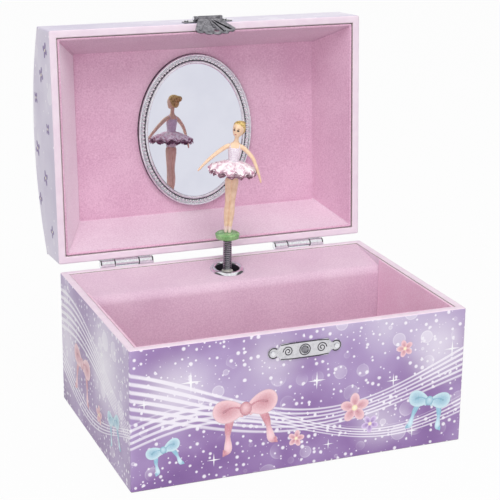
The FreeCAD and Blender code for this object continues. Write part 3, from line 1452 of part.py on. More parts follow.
thread = doc.addObject("Part::Feature", "worm_thread")
thread.Shape = screw_thread(number("Dims.worm_radius"), number(worm_lead), 2.5, 12)
place(thread, WORM_X, SPINDLE_Y, WORM_Z, X_AXIS, "-90")
node(fuse("worm_and_fan", fan, thread), "governor_fan")

# Stop wire: the shut lid presses its tip down behind the dancer, and its other end brakes the fan.
stop_run = f"({RIM} - 6)"
stop_down_x = f"({WORM_X} + 2.6)"
stop_down_y = f"({SPINDLE_Y} + 8.1)"
stop_brake = f"({WORM_Z} + Dims.fan_radius + 0.45 + Dims.stop_travel)"
stop_corners = [
    (STOP_X, STOP_Y, f"{RIM} + 0.2 + Dims.stop_travel"),
    (STOP_X, STOP_Y, stop_run),
    (stop_down_x, STOP_Y, stop_run),
    (stop_down_x, stop_down_y, stop_run),
    (stop_down_x, stop_down_y, stop_brake),
]


def bent_path(corners, bend):
    """Straight lengths joined by round bends."""
    edges = []
    start = corners[0]
    for corner, following in zip(corners[1:], corners[2:]):
        arriving = corner - start
        arriving.normalize()
        leaving = following - corner
        leaving.normalize()
        first, last = corner - arriving * bend, corner + leaving * bend
        edges += [Part.LineSegment(start, first).toShape(), arc_leaving(first, arriving, last)]
        start = last
    edges.append(Part.LineSegment(start, corners[-1]).toShape())
    return edges


stop_path = [Vector(*[number(value) for value in corner]) for corner in stop_corners]
stop_wire = doc.addObject("Part::Feature", "stop_wire_piece")
stop_wire.Shape = tube(bent_path(stop_path, 1.4), 0.6, stop_path[0])
node(stop_wire, "stop_wire")

doc.recompute()
for obj in doc.Objects:
    if "Invalid" in obj.State or "Error" in obj.State:
        raise RuntimeError(f"{obj.Name} did not recompute")
os.makedirs("parts", exist_ok=True)
for obj in nodes:
    if obj.Shape.isNull() or not obj.Shape.isValid():
        raise RuntimeError(f"{obj.Label} has no valid shape")
    obj.Shape.exportStep(f"parts/{obj.Label}.step")
print(f"{len(nodes)} sub-parts written")
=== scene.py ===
import json
import math

import bmesh
import bpy
from mathutils import Matrix, Vector


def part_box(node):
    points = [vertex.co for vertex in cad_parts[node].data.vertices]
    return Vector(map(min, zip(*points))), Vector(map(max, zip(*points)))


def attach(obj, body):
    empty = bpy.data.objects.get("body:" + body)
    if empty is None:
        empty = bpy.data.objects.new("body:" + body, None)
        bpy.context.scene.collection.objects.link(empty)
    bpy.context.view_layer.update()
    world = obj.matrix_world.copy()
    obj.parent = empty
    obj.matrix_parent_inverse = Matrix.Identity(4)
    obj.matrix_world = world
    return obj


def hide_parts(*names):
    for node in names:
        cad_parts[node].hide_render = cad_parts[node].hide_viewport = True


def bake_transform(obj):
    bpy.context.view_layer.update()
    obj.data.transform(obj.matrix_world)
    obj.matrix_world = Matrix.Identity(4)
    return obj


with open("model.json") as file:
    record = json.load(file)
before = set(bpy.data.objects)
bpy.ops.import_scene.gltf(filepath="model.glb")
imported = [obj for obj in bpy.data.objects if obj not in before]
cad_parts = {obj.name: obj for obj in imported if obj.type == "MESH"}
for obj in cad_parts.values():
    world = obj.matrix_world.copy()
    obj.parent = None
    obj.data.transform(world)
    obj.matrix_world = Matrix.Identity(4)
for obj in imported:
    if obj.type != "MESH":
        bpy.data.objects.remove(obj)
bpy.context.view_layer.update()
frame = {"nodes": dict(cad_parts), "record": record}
nodes = frame["nodes"]
MM = 0.001

# Sizes shared by several pieces, in millimetres.
HALF_WIDE, HALF_DEEP = 76, 53.5
CORNER = 0.9
LID_LOW, LID_WALL, LID_RISE = 62.4, 22.2, 15.5
LINING_FLOOR = 87
SPINDLE_Y = 37.5
DECK_SLOPE = math.radians(7)
SIDES = (-1, "left"), (1, "right")

# The lid is drawn shut and then swung open about its hinge.
LID_ANGLE = math.radians(-93.5)
HINGE = Vector((0, 55.5, 62.9)) * MM
LID_OPEN = Matrix.Translation(HINGE) @ Matrix.Rotation(LID_ANGLE, 4, "X") @ Matrix.Translation(-HINGE)

# The dancer is drawn upright, facing the front, with the stand's top at z = 0.
STAND_TOP = 78
DOLL = (
    Matrix.Translation(Vector((0, SPINDLE_Y, STAND_TOP)) * MM)
    @ Matrix.Rotation(math.radians(-21.7), 4, "Z")
    @ Matrix.Rotation(math.radians(4.4), 4, "Y")
)
# The head is drawn larger and upright, then set on the neck and turned a little.
CHIN_Z = 44.6
HEAD = (
    DOLL
    @ Matrix.Translation(Vector((0.85, -0.1, 45.75)) * MM)
    @ Matrix.Rotation(math.radians(-22), 4, "Z")
    @ Matrix.Rotation(math.radians(5), 4, "Y")
    @ Matrix.Scale(0.86, 4)
    @ Matrix.Translation(Vector((0, 0, -CHIN_Z)) * MM)
)


def srgb(red, green, blue):
    """A colour as seen, in 0 to 255, as the linear colour that shaders take."""
    def one(value):
        value /= 255
        return value / 12.92 if value <= 0.04045 else ((value + 0.055) / 1.055) ** 2.4
    return one(red), one(green), one(blue), 1


# Materials

class Nodes:
    """Short ways to add nodes to a tree."""

    def __init__(self, tree):
        self.tree = tree

    def node(self, kind, values=None, **settings):
        made = self.tree.nodes.new(kind)
        for key, value in settings.items():
            setattr(made, key, value)
        for key, value in (values or {}).items():
            self.put(value, made.inputs[key])
        return made

    def put(self, value, socket):
        if isinstance(value, bpy.types.NodeSocket):
            self.tree.links.new(value, socket)
        else:
            socket.default_value = value

    def math(self, operation, first, second=0.0, clamp=False):
        made = self.node("ShaderNodeMath", {0: first, 1: second}, operation=operation, use_clamp=clamp)
        return made.outputs[0]


class Looks(Nodes):
    """A material and short ways to set its look."""

    def __init__(self, name, roughness=0.5, metallic=0.0):
        self.material = bpy.data.materials.new(name)
        self.material.use_nodes = True
        super().__init__(self.material.node_tree)
        self.shader = self.tree.nodes["Principled BSDF"]
        self.give("Roughness", roughness)
        self.give("Metallic", metallic)

    def give(self, name, value):
        self.put(value, self.shader.inputs[name])

    def fade(self, value, low, high, start=0.0, end=1.0):
        """A smooth step from start at low to end at high."""
        values = {0: value, 1: low, 2: high, 3: start, 4: end}
        return self.node("ShaderNodeMapRange", values, interpolation_type="SMOOTHSTEP").outputs[0]

    def mix(self, share, first, second):
        made = self.node("ShaderNodeMix", data_type="RGBA")
        self.put(share, made.inputs[0])
        self.put(first, made.inputs[6])
        self.put(second, made.inputs[7])
        return made.outputs[2]

    def noise(self, scale, detail=2.0, vector=None, dimensions="3D"):
        values = {"Scale": scale, "Detail": detail, "Vector": vector or self.place()}
        return self.node("ShaderNodeTexNoise", values, noise_dimensions=dimensions).outputs[0]

    def cells(self, scale, flat):
        values = {"Scale": scale, "Vector": flat}
        return self.node("ShaderNodeTexVoronoi", values, voronoi_dimensions="2D").outputs

    def place(self):
        return self.node("ShaderNodeTexCoord").outputs["Object"]

    def unrolled(self):
        """The place on a flat print or cloth: along it, and up it."""
        return self.node("ShaderNodeUVMap").outputs[0]

    def colour(self, value):
        self.give("Base Color", value)

    def bump(self, height, strength, distance):
        made = self.node("ShaderNodeBump", {"Strength": strength, "Distance": distance, "Height": height})
        self.give("Normal", made.outputs[0])

    def rough(self, value, low, high):
        self.give("Roughness", self.fade(value, 0.25, 0.75, low, high))


def flock(name, dark, light):
    looks = Looks(name, 0.95)
    cloud = looks.noise(38, 3)
    nap = looks.noise(1500, 2)
    tone = looks.math("ADD", looks.math("MULTIPLY", cloud, 0.4), looks.math("MULTIPLY", nap, 0.6))
    looks.colour(looks.mix(looks.fade(tone, 0.32, 0.68), srgb(*dark), srgb(*light)))
    looks.bump(looks.noise(3200, 3), 0.35, 0.0004)
    looks.give("Sheen Weight", 0.6)
    looks.give("Sheen Roughness", 0.5)
    looks.give("Sheen Tint", srgb(255, 242, 250))
    looks.give("Specular IOR Level", 0.1)
    return looks.material


def metal(name, colour, dark, low, high, grain=900):
    looks = Looks(name, low, 1.0)
    wear = looks.noise(grain, 4)
    looks.colour(looks.mix(looks.fade(wear, 0.2, 0.8), srgb(*dark), srgb(*colour)))
    looks.rough(looks.noise(260, 5), low, high)
    looks.bump(wear, 0.03, 0.0001)
    return looks.material


def moulded(name, colour, dark, roughness, spread=0.1, grain=420):
    looks = Looks(name, roughness)
    looks.colour(looks.mix(looks.fade(looks.noise(grain, 3), 0.3, 0.7), srgb(*dark), srgb(*colour)))
    looks.rough(looks.noise(700, 3), roughness, roughness + spread)
    looks.bump(looks.noise(2600, 2), 0.06, 0.0002)
    return looks.material


def board(name):
    looks = Looks(name, 0.9)
    fibre = looks.noise(1100, 4)
    looks.colour(looks.mix(looks.fade(fibre, 0.3, 0.7), srgb(166, 160, 152), srgb(196, 190, 182)))
    looks.bump(fibre, 0.2, 0.0003)
    return looks.material


def silvering(name):
    looks = Looks(name, 0.015, 1.0)
    haze = looks.fade(looks.noise(60, 3), 0.3, 0.7)
    looks.colour(looks.mix(haze, srgb(216, 217, 229), srgb(221, 222, 233)))
    return looks.material


def sparkles(looks, flat, scale, size, floor):
    """White dots of many sizes, one to a cell."""
    cells = looks.cells(scale, flat)
    chance = looks.node("ShaderNodeSeparateColor", {0: cells["Color"]}).outputs[0]
    above = looks.math("SUBTRACT", chance, floor, True)
    reach = looks.math("MULTIPLY", looks.math("POWER", above, 2.0), size)
    near = looks.math("DIVIDE", cells["Distance"], looks.math("ADD", reach, 0.001))
    return looks.fade(near, 1.0, 0.35)


def bokeh(looks, flat, scale, size):
    """Pale discs with a brighter edge."""
    cells = looks.cells(scale, flat)
    chance = looks.node("ShaderNodeSeparateColor", {0: cells["Color"]}).outputs[1]
    gap = looks.math("SUBTRACT", cells["Distance"], looks.math("MULTIPLY", chance, size))
    disc = looks.fade(gap, 0.02, -0.01, 0.0, 0.28)
    rim = looks.fade(looks.math("ABSOLUTE", gap), 0.035, 0.0, 0.0, 0.3)
    return looks.math("ADD", disc, rim)


def sweep(looks, along, up, level, swing, length, turn, half, spacing):
    """A band of fine lines that rises and falls along the print."""
    wave = looks.math("SINE", looks.math("ADD", looks.math("MULTIPLY", along, 2 * math.pi / length), turn))
    off = looks.math("SUBTRACT", up, looks.math("ADD", looks.math("MULTIPLY", wave, swing), level))
    pulse = looks.math("COSINE", looks.math("MULTIPLY", along, 3.1))
    squeeze = looks.math("ADD", looks.math("MULTIPLY", pulse, 0.3), 0.75)
    off = looks.math("DIVIDE", off, squeeze)
    inside = looks.fade(looks.math("ABSOLUTE", off), half, half * 0.75)
    part = looks.math("FRACT", looks.math("DIVIDE", looks.math("ADD", off, 5.0), spacing))
    line = looks.fade(looks.math("ABSOLUTE", looks.math("SUBTRACT", part, 0.5)), 0.34, 0.12)
    return looks.math("MULTIPLY", looks.math("MULTIPLY", inside, line), 0.72)


def printed(name, ramp, glows, sweeps, dots):
    """Printed paper: clouds of the ramp's colours under glows, sweeps of lines and dots."""
    looks = Looks(name, 0.34)
    apart = looks.node("ShaderNodeSeparateXYZ", {0: looks.unrolled()})
    along, up = apart.outputs[0], apart.outputs[1]
    flat = looks.node("ShaderNodeCombineXYZ", {0: along, 1: up}).outputs[0]
    cloud = looks.noise(2.1, 3, flat, "2D")
    tone = looks.math("ADD", looks.math("MULTIPLY", cloud, 1.25), looks.math("MULTIPLY", up, 0.5))
    tone = looks.math("ADD", tone, -0.36)
    blend = looks.node("ShaderNodeValToRGB", {0: tone})
    blend.color_ramp.elements[0].color = srgb(*ramp[0])
    blend.color_ramp.elements[1].color = srgb(*ramp[-1])
    for index, shade in enumerate(ramp[1:-1], 1):
        blend.color_ramp.elements.new(index / (len(ramp) - 1)).color = srgb(*shade)
    light = looks.math("MULTIPLY", bokeh(looks, flat, 9.0, 0.42), looks.fade(cloud, 0.42, 0.62))
    for x, y, reach, power in glows:
        gap = looks.node("ShaderNodeVectorMath", {0: flat, 1: (x, y, 0)}, operation="DISTANCE")
        light = looks.math("ADD", light, looks.fade(gap.outputs["Value"], reach, 0.0, 0.0, power))
    for band in sweeps:
        light = looks.math("ADD", light, sweep(looks, along, up, *band))
    for dot in dots:
        light = looks.math("ADD", light, sparkles(looks, flat, *dot))
    light = looks.math("MINIMUM", light, 0.9)
    looks.colour(looks.mix(light, blend.outputs[0], srgb(250, 246, 253)))
    looks.rough(looks.noise(90, 3), 0.3, 0.42)
    looks.bump(looks.noise(1800, 2), 0.05, 0.0002)
    looks.give("Coat Weight", 0.15)
    looks.give("Coat Roughness", 0.2)
    return looks.material


def motif_ink(name):
    """Ink whose colour is stored on the piece's own points."""
    looks = Looks(name, 0.36)
    ink = looks.node("ShaderNodeAttribute", attribute_name="ink").outputs["Color"]
    fleck = looks.fade(looks.noise(1400, 2), 0.35, 0.7, 0.0, 0.16)
    looks.colour(looks.mix(fleck, ink, srgb(252, 246, 252)))
    looks.rough(looks.noise(90, 3), 0.3, 0.42)
    return looks.material


def lace(name):
    looks = Looks(name, 0.5)
    values = {"Scale": 1500, "Vector": looks.place()}
    net = looks.node("ShaderNodeTexVoronoi", values, feature="DISTANCE_TO_EDGE")
    thread = looks.fade(net.outputs["Distance"], 0.05, 0.2)
    looks.colour(looks.mix(thread, srgb(250, 244, 250), srgb(220, 202, 220)))
    looks.bump(thread, 0.4, 0.0002)
    return looks.material


def tulle(name, inner, outer):
    """Flecked net with a dark scalloped hem."""
    looks = Looks(name, 0.75)
    apart = looks.node("ShaderNodeSeparateXYZ", {0: looks.unrolled()})
    spread = looks.node("ShaderNodeMapping", {0: looks.unrolled(), "Scale": (62, 9, 1)}).outputs[0]
    cells = looks.cells(1.0, spread)
    fleck = looks.fade(cells["Distance"], 0.16, 0.5)
    cloud = looks.fade(looks.noise(420, 3), 0.42, 0.62)
    cloth = looks.mix(looks.math("MULTIPLY", fleck, cloud), srgb(*inner), srgb(*outer))
    scallop = looks.math("SINE", looks.math("MULTIPLY", apart.outputs[0], 2 * math.pi * 30))
    edge = looks.math("ADD", apart.outputs[1], looks.math("MULTIPLY", scallop, 0.03))
    hem = looks.math("MULTIPLY", looks.fade(edge, 0.86, 0.92), looks.fade(edge, 1.0, 0.96))
    looks.colour(looks.mix(looks.math("MULTIPLY", hem, 0.85), cloth, srgb(158, 104, 128)))
    looks.bump(cells["Distance"], 0.5, 0.0003)
    looks.give("Sheen Weight", 0.2)
    return looks.material


FLOCK = flock("pink_flock", (212, 163, 191), (233, 194, 215))
# Lit and shaded copies of the same flock for the sides of the lid's lining: painted light and painted
# shade.
LIT_HINGE_SIDE_FLOCK = flock("flock_painted_light_hinge_side", (217, 185, 204), (234, 210, 224))
SHADED_FRONT_SIDE_FLOCK = flock("flock_painted_shade_front_side", (190, 140, 169), (212, 172, 195))
LIT_LEFT_SIDE_FLOCK = flock("flock_painted_light_left_side", (229, 200, 218), (244, 223, 236))
# A paler copy of the flock for the deck: painted light.
LIT_DECK_FLOCK = flock("deck_flock_painted_light", (214, 180, 202), (232, 205, 221))
# A paler copy of the flock for the tray's walls: painted light that offsets their shade.
LIT_TRAY_FLOCK = flock("tray_flock_painted_light", (234, 188, 213), (248, 218, 235))
CHROME = metal("chrome", (244, 244, 247), (222, 222, 228), 0.1, 0.22)
NICKEL = metal("nickel_steel", (205, 205, 208), (150, 150, 154), 0.25, 0.42)
CAST = metal("cast_nickel", (166, 164, 170), (84, 82, 90), 0.06, 0.18, 500)
PLATE = metal("keeper_plate", (226, 225, 229), (204, 203, 208), 0.2, 0.34, 500)
# Black for painted shade: the hinge gaps, the eyelet's hole, the mirror frame's foot and channel, and the
# keeper's edges and grooves.
PAINTED_SHADE = moulded("painted_shade_line", (58, 54, 62), (44, 40, 48), 0.4)
STEEL = metal("spring_steel", (186, 186, 192), (150, 150, 157), 0.08, 0.16)
BRASS = metal("brass", (214, 178, 104), (170, 132, 66), 0.22, 0.4)
ZINC = metal("die_cast_zinc", (176, 177, 180), (128, 129, 134), 0.4, 0.6)
SILVER = metal("silvered_moulding", (246, 246, 250), (220, 220, 228), 0.2, 0.36, 500)
WHITE = moulded("white_plastic", (236, 234, 228), (220, 217, 210), 0.4)
GREEN = moulded("green_plastic", (158, 204, 142), (104, 160, 94), 0.2, 0.12, 300)
BOARD = board("grey_board")
SKIN = moulded("painted_skin", (250, 222, 190), (242, 206, 172), 0.36)
TIGHTS = moulded("painted_tights", (252, 226, 196), (238, 206, 172), 0.34)
HAIR = moulded("painted_hair", (238, 210, 136), (150, 114, 58), 0.36, 0.1, 1300)
SHOES = moulded("painted_shoes", (252, 232, 224), (244, 214, 208), 0.32)
DARK = moulded("painted_eye", (52, 38, 34), (36, 26, 24), 0.25)
BROW = moulded("painted_brow", (150, 108, 62), (126, 88, 50), 0.4)
LIPS = moulded("painted_lips", (206, 104, 108), (186, 86, 92), 0.3)
RIM = moulded("rim_paper", (238, 222, 233), (233, 214, 228), 0.5, 0.12, 160)
MIRROR = silvering("mirror_silvering")
INK = motif_ink("motif_ink")
BODICE = lace("bodice_lace")
# The three layers grow darker from the top one down: painted shade under the upper layers.
TULLE_TOP = tulle("tulle_top", (252, 244, 248), (214, 168, 190))
TULLE_MID = tulle("tulle_middle", (240, 214, 226), (176, 124, 150))
TULLE_LOW = tulle("tulle_under", (222, 186, 204), (150, 100, 128))
BASE_PRINT = printed(
    "base_print",
    ((114, 78, 142), (144, 110, 168), (172, 148, 194), (194, 178, 211), (212, 202, 224)),
    glows=(
        (0.2, 0.42, 0.22, 0.6), (0.62, 0.5, 0.2, 0.4), (1.12, 0.14, 0.16, 0.4), (1.4, 0.46, 0.22, 0.6),
        (2.0, 0.4, 0.3, 0.7), (2.6, 0.3, 0.3, 0.6), (3.3, 0.44, 0.3, 0.6), (4.2, 0.3, 0.3, 0.6),
        (4.8, 0.42, 0.3, 0.75),
    ),
    sweeps=((0.34, 0.13, 2.3, 2.4, 0.11, 0.034), (0.2, 0.1, 1.7, 0.4, 0.06, 0.026)),
    dots=((34, 0.5, 0.1), (15, 0.42, 0.4)),
)
LID_PRINT = printed(
    "lid_print",
    ((192, 180, 208), (204, 194, 218), (216, 207, 228), (228, 220, 236)),
    glows=((0.4, 0.3, 0.5, 0.4), (2.2, 0.5, 0.6, 0.4)),
    sweeps=(),
    dots=((20, 0.34, 0.3),),
)

# CAD nodes: a material by slot, some of their own, and soft edges.
by_slot = {
    "grey_board": BOARD, "base_print": BASE_PRINT, "lid_print": LID_PRINT, "flock": FLOCK,
    "bright_plate": CHROME, "nickel_steel": NICKEL, "mirror": MIRROR, "mirror_frame": SILVER,
    "brass": BRASS, "zinc": ZINC, "white_plastic": WHITE, "green_plastic": GREEN,
    "figure_plastic": SKIN, "tulle": WHITE,
}
by_node = {
    "movement_cover": LIT_DECK_FLOCK, "tray_lining": LIT_TRAY_FLOCK, "latch_hasp": CAST, "lid_latch_plate": CAST,
    "latch_keeper": PLATE, "latch_stud": CAST,
}
for part in frame["record"]["subparts"]:
    shown = nodes[part["node"]].data
    shown.materials.clear()
    shown.materials.append(by_node.get(part["node"], by_slot[part["material_slot"]]))
    for face in shown.polygons:
        face.use_smooth = True
deck_normal = Vector((0, -math.sin(DECK_SLOPE), math.cos(DECK_SLOPE)))
for face in [*nodes["mirror_glass"].data.polygons, *nodes["movement_cover"].data.polygons]:
    if face.normal.dot(deck_normal) > 0.9995 or face.normal.y < -0.95 or face.normal.z > 0.9999:
        face.use_smooth = False


def soften(name, width):
    """Rounds a CAD node's edges for the light to catch."""
    weld = nodes[name].modifiers.new("weld", "WELD")
    weld.merge_threshold = 2e-6
    bevel = nodes[name].modifiers.new("bevel", "BEVEL")
    bevel.width = width * MM
    bevel.segments = 2
    bevel.limit_method = "ANGLE"
    bevel.angle_limit = math.radians(38)
    nodes[name].modifiers.new("normals", "WEIGHTED_NORMAL")


for name, width in (
    ("tray_lining", 0.3), ("latch_keeper", 0.14), ("latch_hasp", 0.16), ("lid_latch_plate", 0.16),
    ("latch_stud", 0.2), ("hinge_base_leaf_left", 0.12), ("hinge_base_leaf_right", 0.12),
    ("hinge_lid_leaf_left", 0.12), ("hinge_lid_leaf_right", 0.12), ("winding_key", 0.25),
    ("dancer_stand", 0.3), ("keeper_nails", 0.15), ("hinge_base_nails", 0.15), ("hinge_lid_nails", 0.15),
    ("lid_latch_nails", 0.15),
):
    soften(name, width)


# Mesh helpers: points are in millimetres.

def piece(name, points, faces, materials, body, matrix=None, subdivide=0, slot=None):
    """A smooth mesh that rides on a body, or on none where body is None."""
    mesh = bpy.data.meshes.new(name)
    mesh.from_pydata([Vector(point) * MM for point in points], [], faces)
    if matrix is not None:
        mesh.transform(matrix)
    mesh.update()
    obj = bpy.data.objects.new(name, mesh)
    bpy.context.scene.collection.objects.link(obj)
    for material in materials if isinstance(materials, (list, tuple)) else [materials]:
        mesh.materials.append(material)
    for face in mesh.polygons:
        face.use_smooth = True
    if subdivide:
        modifier = obj.modifiers.new("subdivide", "SUBSURF")
        modifier.levels = subdivide
        modifier.render_levels = subdivide
    if body:
        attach(obj, body)
    return obj


def skinned(rings, ends=True):
    """Points and faces over rings of equal count."""
    count = len(rings[0])
    points = [point for ring in rings for point in ring]
    faces = []
    for level in range(len(rings) - 1):
        for index in range(count):
            beside = (index + 1) % count
            low = level * count
            faces.append((low + index, low + beside, low + count + beside, low + count + index))
    if ends:
        faces.append(tuple(reversed(range(count))))
        faces.append(tuple(range((len(rings) - 1) * count, len(rings) * count)))
    return points, faces


def joined(meshes):
    """Points and faces of several meshes as one."""
    points, faces = [], []
    for more_points, more_faces in meshes:
        start = len(points)
        points += more_points
        faces += [tuple(start + index for index in face) for face in more_faces]
    return points, faces


def full_turn(count):
    return [2 * math.pi * step / count for step in range(count)]


def oval(x, y, z, wide, deep, sides=16):
    return [(x + wide * math.cos(turn), y + deep * math.sin(turn), z) for turn in full_turn(sides)]


def rounded(inset, radius, z, steps=6):
    """The box's rounded outline, moved in, from its front left corner, anticlockwise from above."""
    ring = []
    corners = ((-1, -1, 180), (1, -1, 270), (1, 1, 0), (-1, 1, 90))
    for side_x, side_y, start in corners:
        for step in range(steps):
            turn = math.radians(start + 90 * step / (steps - 1))
            ring.append((
                side_x * (HALF_WIDE - inset - radius) + radius * math.cos(turn),
                side_y * (HALF_DEEP - inset - radius) + radius * math.sin(turn),
                z,
            ))
    return ring


def limb(joints, sides=14):
    """Rings across a run of (x, y, z, radius)."""
    rings = []
    for index, joint in enumerate(joints):
        before = Vector(joints[max(index - 1, 0)][:3])
        after = Vector(joints[min(index + 1, len(joints) - 1)][:3])
        along = (after - before).normalized()
        across = (Vector((0, 1, 0)) - along * along.y).normalized()
        upward = along.cross(across)
        ring = []
        for turn in full_turn(sides):
            out = across * math.cos(turn) + upward * math.sin(turn)
            ring.append(tuple(Vector(joint[:3]) + out * joint[3]))
        rings.append(ring)
    return rings


# Printed paper: a sleeve with rounded corners and a turned-in rim.
# The print is unrolled in tenths of a metre; RIGHT_END and LEFT_END place the lid's two ends along it.
PRINT_UNIT = 100
RIGHT_END, LEFT_END = 205, 465


def sleeve(name, levels, rim_from, print_material, body, matrix, node, slot, top=None):
    """levels are (inset, z); faces from rim_from on are the pale turned-in rim."""
    rings = [rounded(inset, max(CORNER - inset, 0.15), z) for inset, z in levels]
    points, faces = skinned(rings, ends=False)
    count = len(rings[0])
    run = [0.0]
    for index in range(count):
        first, second = rings[0][index], rings[0][(index + 1) % count]
        run.append(run[-1] + math.dist(first[:2], second[:2]))
    if top:
        top(points, faces)
    obj = piece(name, points, faces, [print_material, RIM], body, slot=slot)
    layer = obj.data.uv_layers.new(name="UVMap")
    for face in obj.data.polygons:
        level = face.index // count
        wall = level < len(levels) - 1
        if wall and level >= rim_from:
            face.material_index = 1
        for loop in face.loop_indices:
            vertex = obj.data.loops[loop].vertex_index
            x, y, z = (value / MM for value in obj.data.vertices[vertex].co)
            if wall:
                column = vertex % count
                wraps = face.index % count == count - 1 and column == 0
                along, tall = run[count] if wraps else run[column], z
            elif abs(face.normal.x) > 0.9:
                along, tall = RIGHT_END - y if face.normal.x > 0 else LEFT_END + y, z
            else:
                along, tall = x + HALF_WIDE, z + y + HALF_DEEP
            layer.data[loop].uv = (along / PRINT_UNIT, tall / PRINT_UNIT)
    obj.data.transform(matrix)
    obj.modifiers.new("normals", "WEIGHTED_NORMAL")
    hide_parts(node)


sleeve(
    "base_wrap",
    [
        (0, 0.3), (0, 20), (0, 40), (0, 61.2), (0.1, 61.65), (0.35, 61.9), (0.7, 62), (2.9, 62),
        (3.3, 61.85), (3.5, 61.4), (3.53, 60), (3.53, 48),
    ],
    4, BASE_PRINT, "base", Matrix.Identity(4), "base_paper_cover", "base_print",
)

DOME_RADIUS = (LID_RISE ** 2 + HALF_DEEP ** 2) / (2 * LID_RISE)
DOME_CENTRE = LID_LOW + LID_WALL + LID_RISE - DOME_RADIUS
DOME_HALF = math.asin(HALF_DEEP / DOME_RADIUS)
DOME_STEPS = 44
DOME_EDGE = 0.5


def dome(points, faces):
    """The curved top and the two bowed ends, which stand on the sleeve's upper edge."""
    inner = HALF_WIDE - DOME_EDGE
    middle = [-inner + 2 * inner * step / 12 for step in range(1, 12)]
    columns = [-HALF_WIDE, -75.86, -inner, *middle, inner, 75.86, HALF_WIDE]
    sink = [DOME_EDGE, DOME_EDGE * 0.3, 0, *[0] * 11, 0, DOME_EDGE * 0.3, DOME_EDGE]
    start = len(points)
    rows = []
    for step in range(DOME_STEPS + 1):
        turn = DOME_HALF * (2 * step / DOME_STEPS - 1)
        rows.append((DOME_RADIUS * math.sin(turn), turn))
    for x, drop in zip(columns, sink):
        for y, turn in rows:
            z = DOME_CENTRE + (DOME_RADIUS - drop) * math.cos(turn)
            points.append((x, y * (DOME_RADIUS - drop) / DOME_RADIUS, z))
    high = len(rows)
    for column in range(len(columns) - 1):
        for row in range(high - 1):
            low = start + column * high + row
            faces.append((low, low + high, low + high + 1, low + 1))
    for x, column in ((-HALF_WIDE, 0), (HALF_WIDE, len(columns) - 1)):
        base = len(points)
        for row, (y, turn) in enumerate(rows):
            above = points[start + column * high + row][2]
            z = min(LID_LOW + LID_WALL + 0.02, above - 0.01)
            points.append((x, y * (DOME_RADIUS - DOME_EDGE) / DOME_RADIUS, z))
        for row in range(high - 1):
            upper = start + column * high + row
            quad = (base + row, upper, upper + 1, base + row + 1)
            faces.append(quad if x < 0 else tuple(reversed(quad)))


sleeve(
    "lid_wrap",
    [
        (0, 84.62), (0, 75), (0, 63.3), (0.1, 62.8), (0.35, 62.5), (0.7, LID_LOW), (2.9, LID_LOW),
        (3.3, 62.55), (3.5, 63), (3.5, 64),
    ],
    3, LID_PRINT, "lid", LID_OPEN, "lid_paper_cover", "lid_print", dome,
)

# Flocked lining of the lid: a formed tray with drafted sides and soft corners.
# The left side slopes in by LINING_LEAN more than the right one, as in the photo.
LINING_EDGE, LINING_FOOT = 63.5, 86.3
LINING_HALF = 62, 39
LINING_LEAN = 3.2
lining_rings = [rounded(*level) for level in (
    (3.8, 0.7, 64.4), (3.8, 0.7, 63.2), (3.95, 0.7, 62.95), (4.3, 0.7, 62.85), (4.7, 0.7, 63),
    (4.9, 0.7, LINING_EDGE), (9.3, 0.8, 75), (13.5, 0.9, LINING_FOOT), (13.8, 0.9, 86.9),
    (14.1, 0.9, 87.3), (14.4, 0.9, 87.15), (14.8, 0.9, 87.02), (15.6, 0.9, LINING_FLOOR),
)]
for ring in lining_rings:
    share = min(max((ring[0][2] - LINING_EDGE) / (LINING_FOOT - LINING_EDGE), 0), 1)
    for index, (x, y, z) in enumerate(ring):
        if x < 0:
            ring[index] = (x + LINING_LEAN * share, y, z)
lining_points, lining_faces = skinned(lining_rings, ends=False)
lining_faces.append(tuple(range(len(lining_points) - len(lining_rings[-1]), len(lining_points))))
lining_flock = [FLOCK, LIT_HINGE_SIDE_FLOCK, SHADED_FRONT_SIDE_FLOCK, LIT_LEFT_SIDE_FLOCK]
lining = piece("lid_velvet", lining_points, lining_faces, lining_flock, "lid", LID_OPEN, slot="flock")
# Three sides have a tone of their own, chosen to match the photo: painted light on the hinge side and the
# left side, and painted shade on the front side, all copies of one flock.
for face in lining.data.polygons:
    middle = sum((Vector(lining_points[index]) for index in face.vertices), Vector()) / len(face.vertices)
    if not LINING_EDGE < middle.z < 86.9:
        continue
    if abs(middle.y) - LINING_HALF[1] > abs(middle.x) - LINING_HALF[0]:
        face.material_index = 1 if middle.y > 0 else 2
    elif middle.x < 0:
        face.material_index = 3
lining.modifiers.new("normals", "WEIGHTED_NORMAL")
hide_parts("lid_lining")

# Mirror frame: a moulded oval with a beaded channel between two lips.
FRAME_STEPS = 144
FRAME_HALF_WIDE, FRAME_HALF_TALL = 28.9, 37
# Levels painted black as shade: the foot of the outer side and the inner side of the channel.
PAINTED_SHADE_LEVELS = 0, 1, 7, 8


def frame_ring(inset, height):
    wide, tall = FRAME_HALF_WIDE - inset, FRAME_HALF_TALL - inset
    return oval(0, 0, LINING_FLOOR - height, wide, tall, FRAME_STEPS)


frame_shape = skinned(
    [frame_ring(*spot) for spot in (
        (0, 0), (0, 1.1), (0.15, 1.8), (0.5, 2.2), (0.95, 2.2), (1.3, 1.75), (1.45, 1.3), (2.85, 1.3),
        (3.2, 1.2), (3.4, 1.75), (3.8, 2.15), (4.3, 2.15), (4.7, 1.8), (4.8, 1.42),
    )],
    ends=False,
)
oval_frame = piece("mirror_oval", *frame_shape, [SILVER, PAINTED_SHADE], "lid", LID_OPEN, slot="mirror_frame")
for face in oval_frame.data.polygons:
    face.material_index = 1 if face.index // FRAME_STEPS in PAINTED_SHADE_LEVELS else 0
oval_frame.modifiers.new("normals", "WEIGHTED_NORMAL")
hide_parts("mirror_frame")

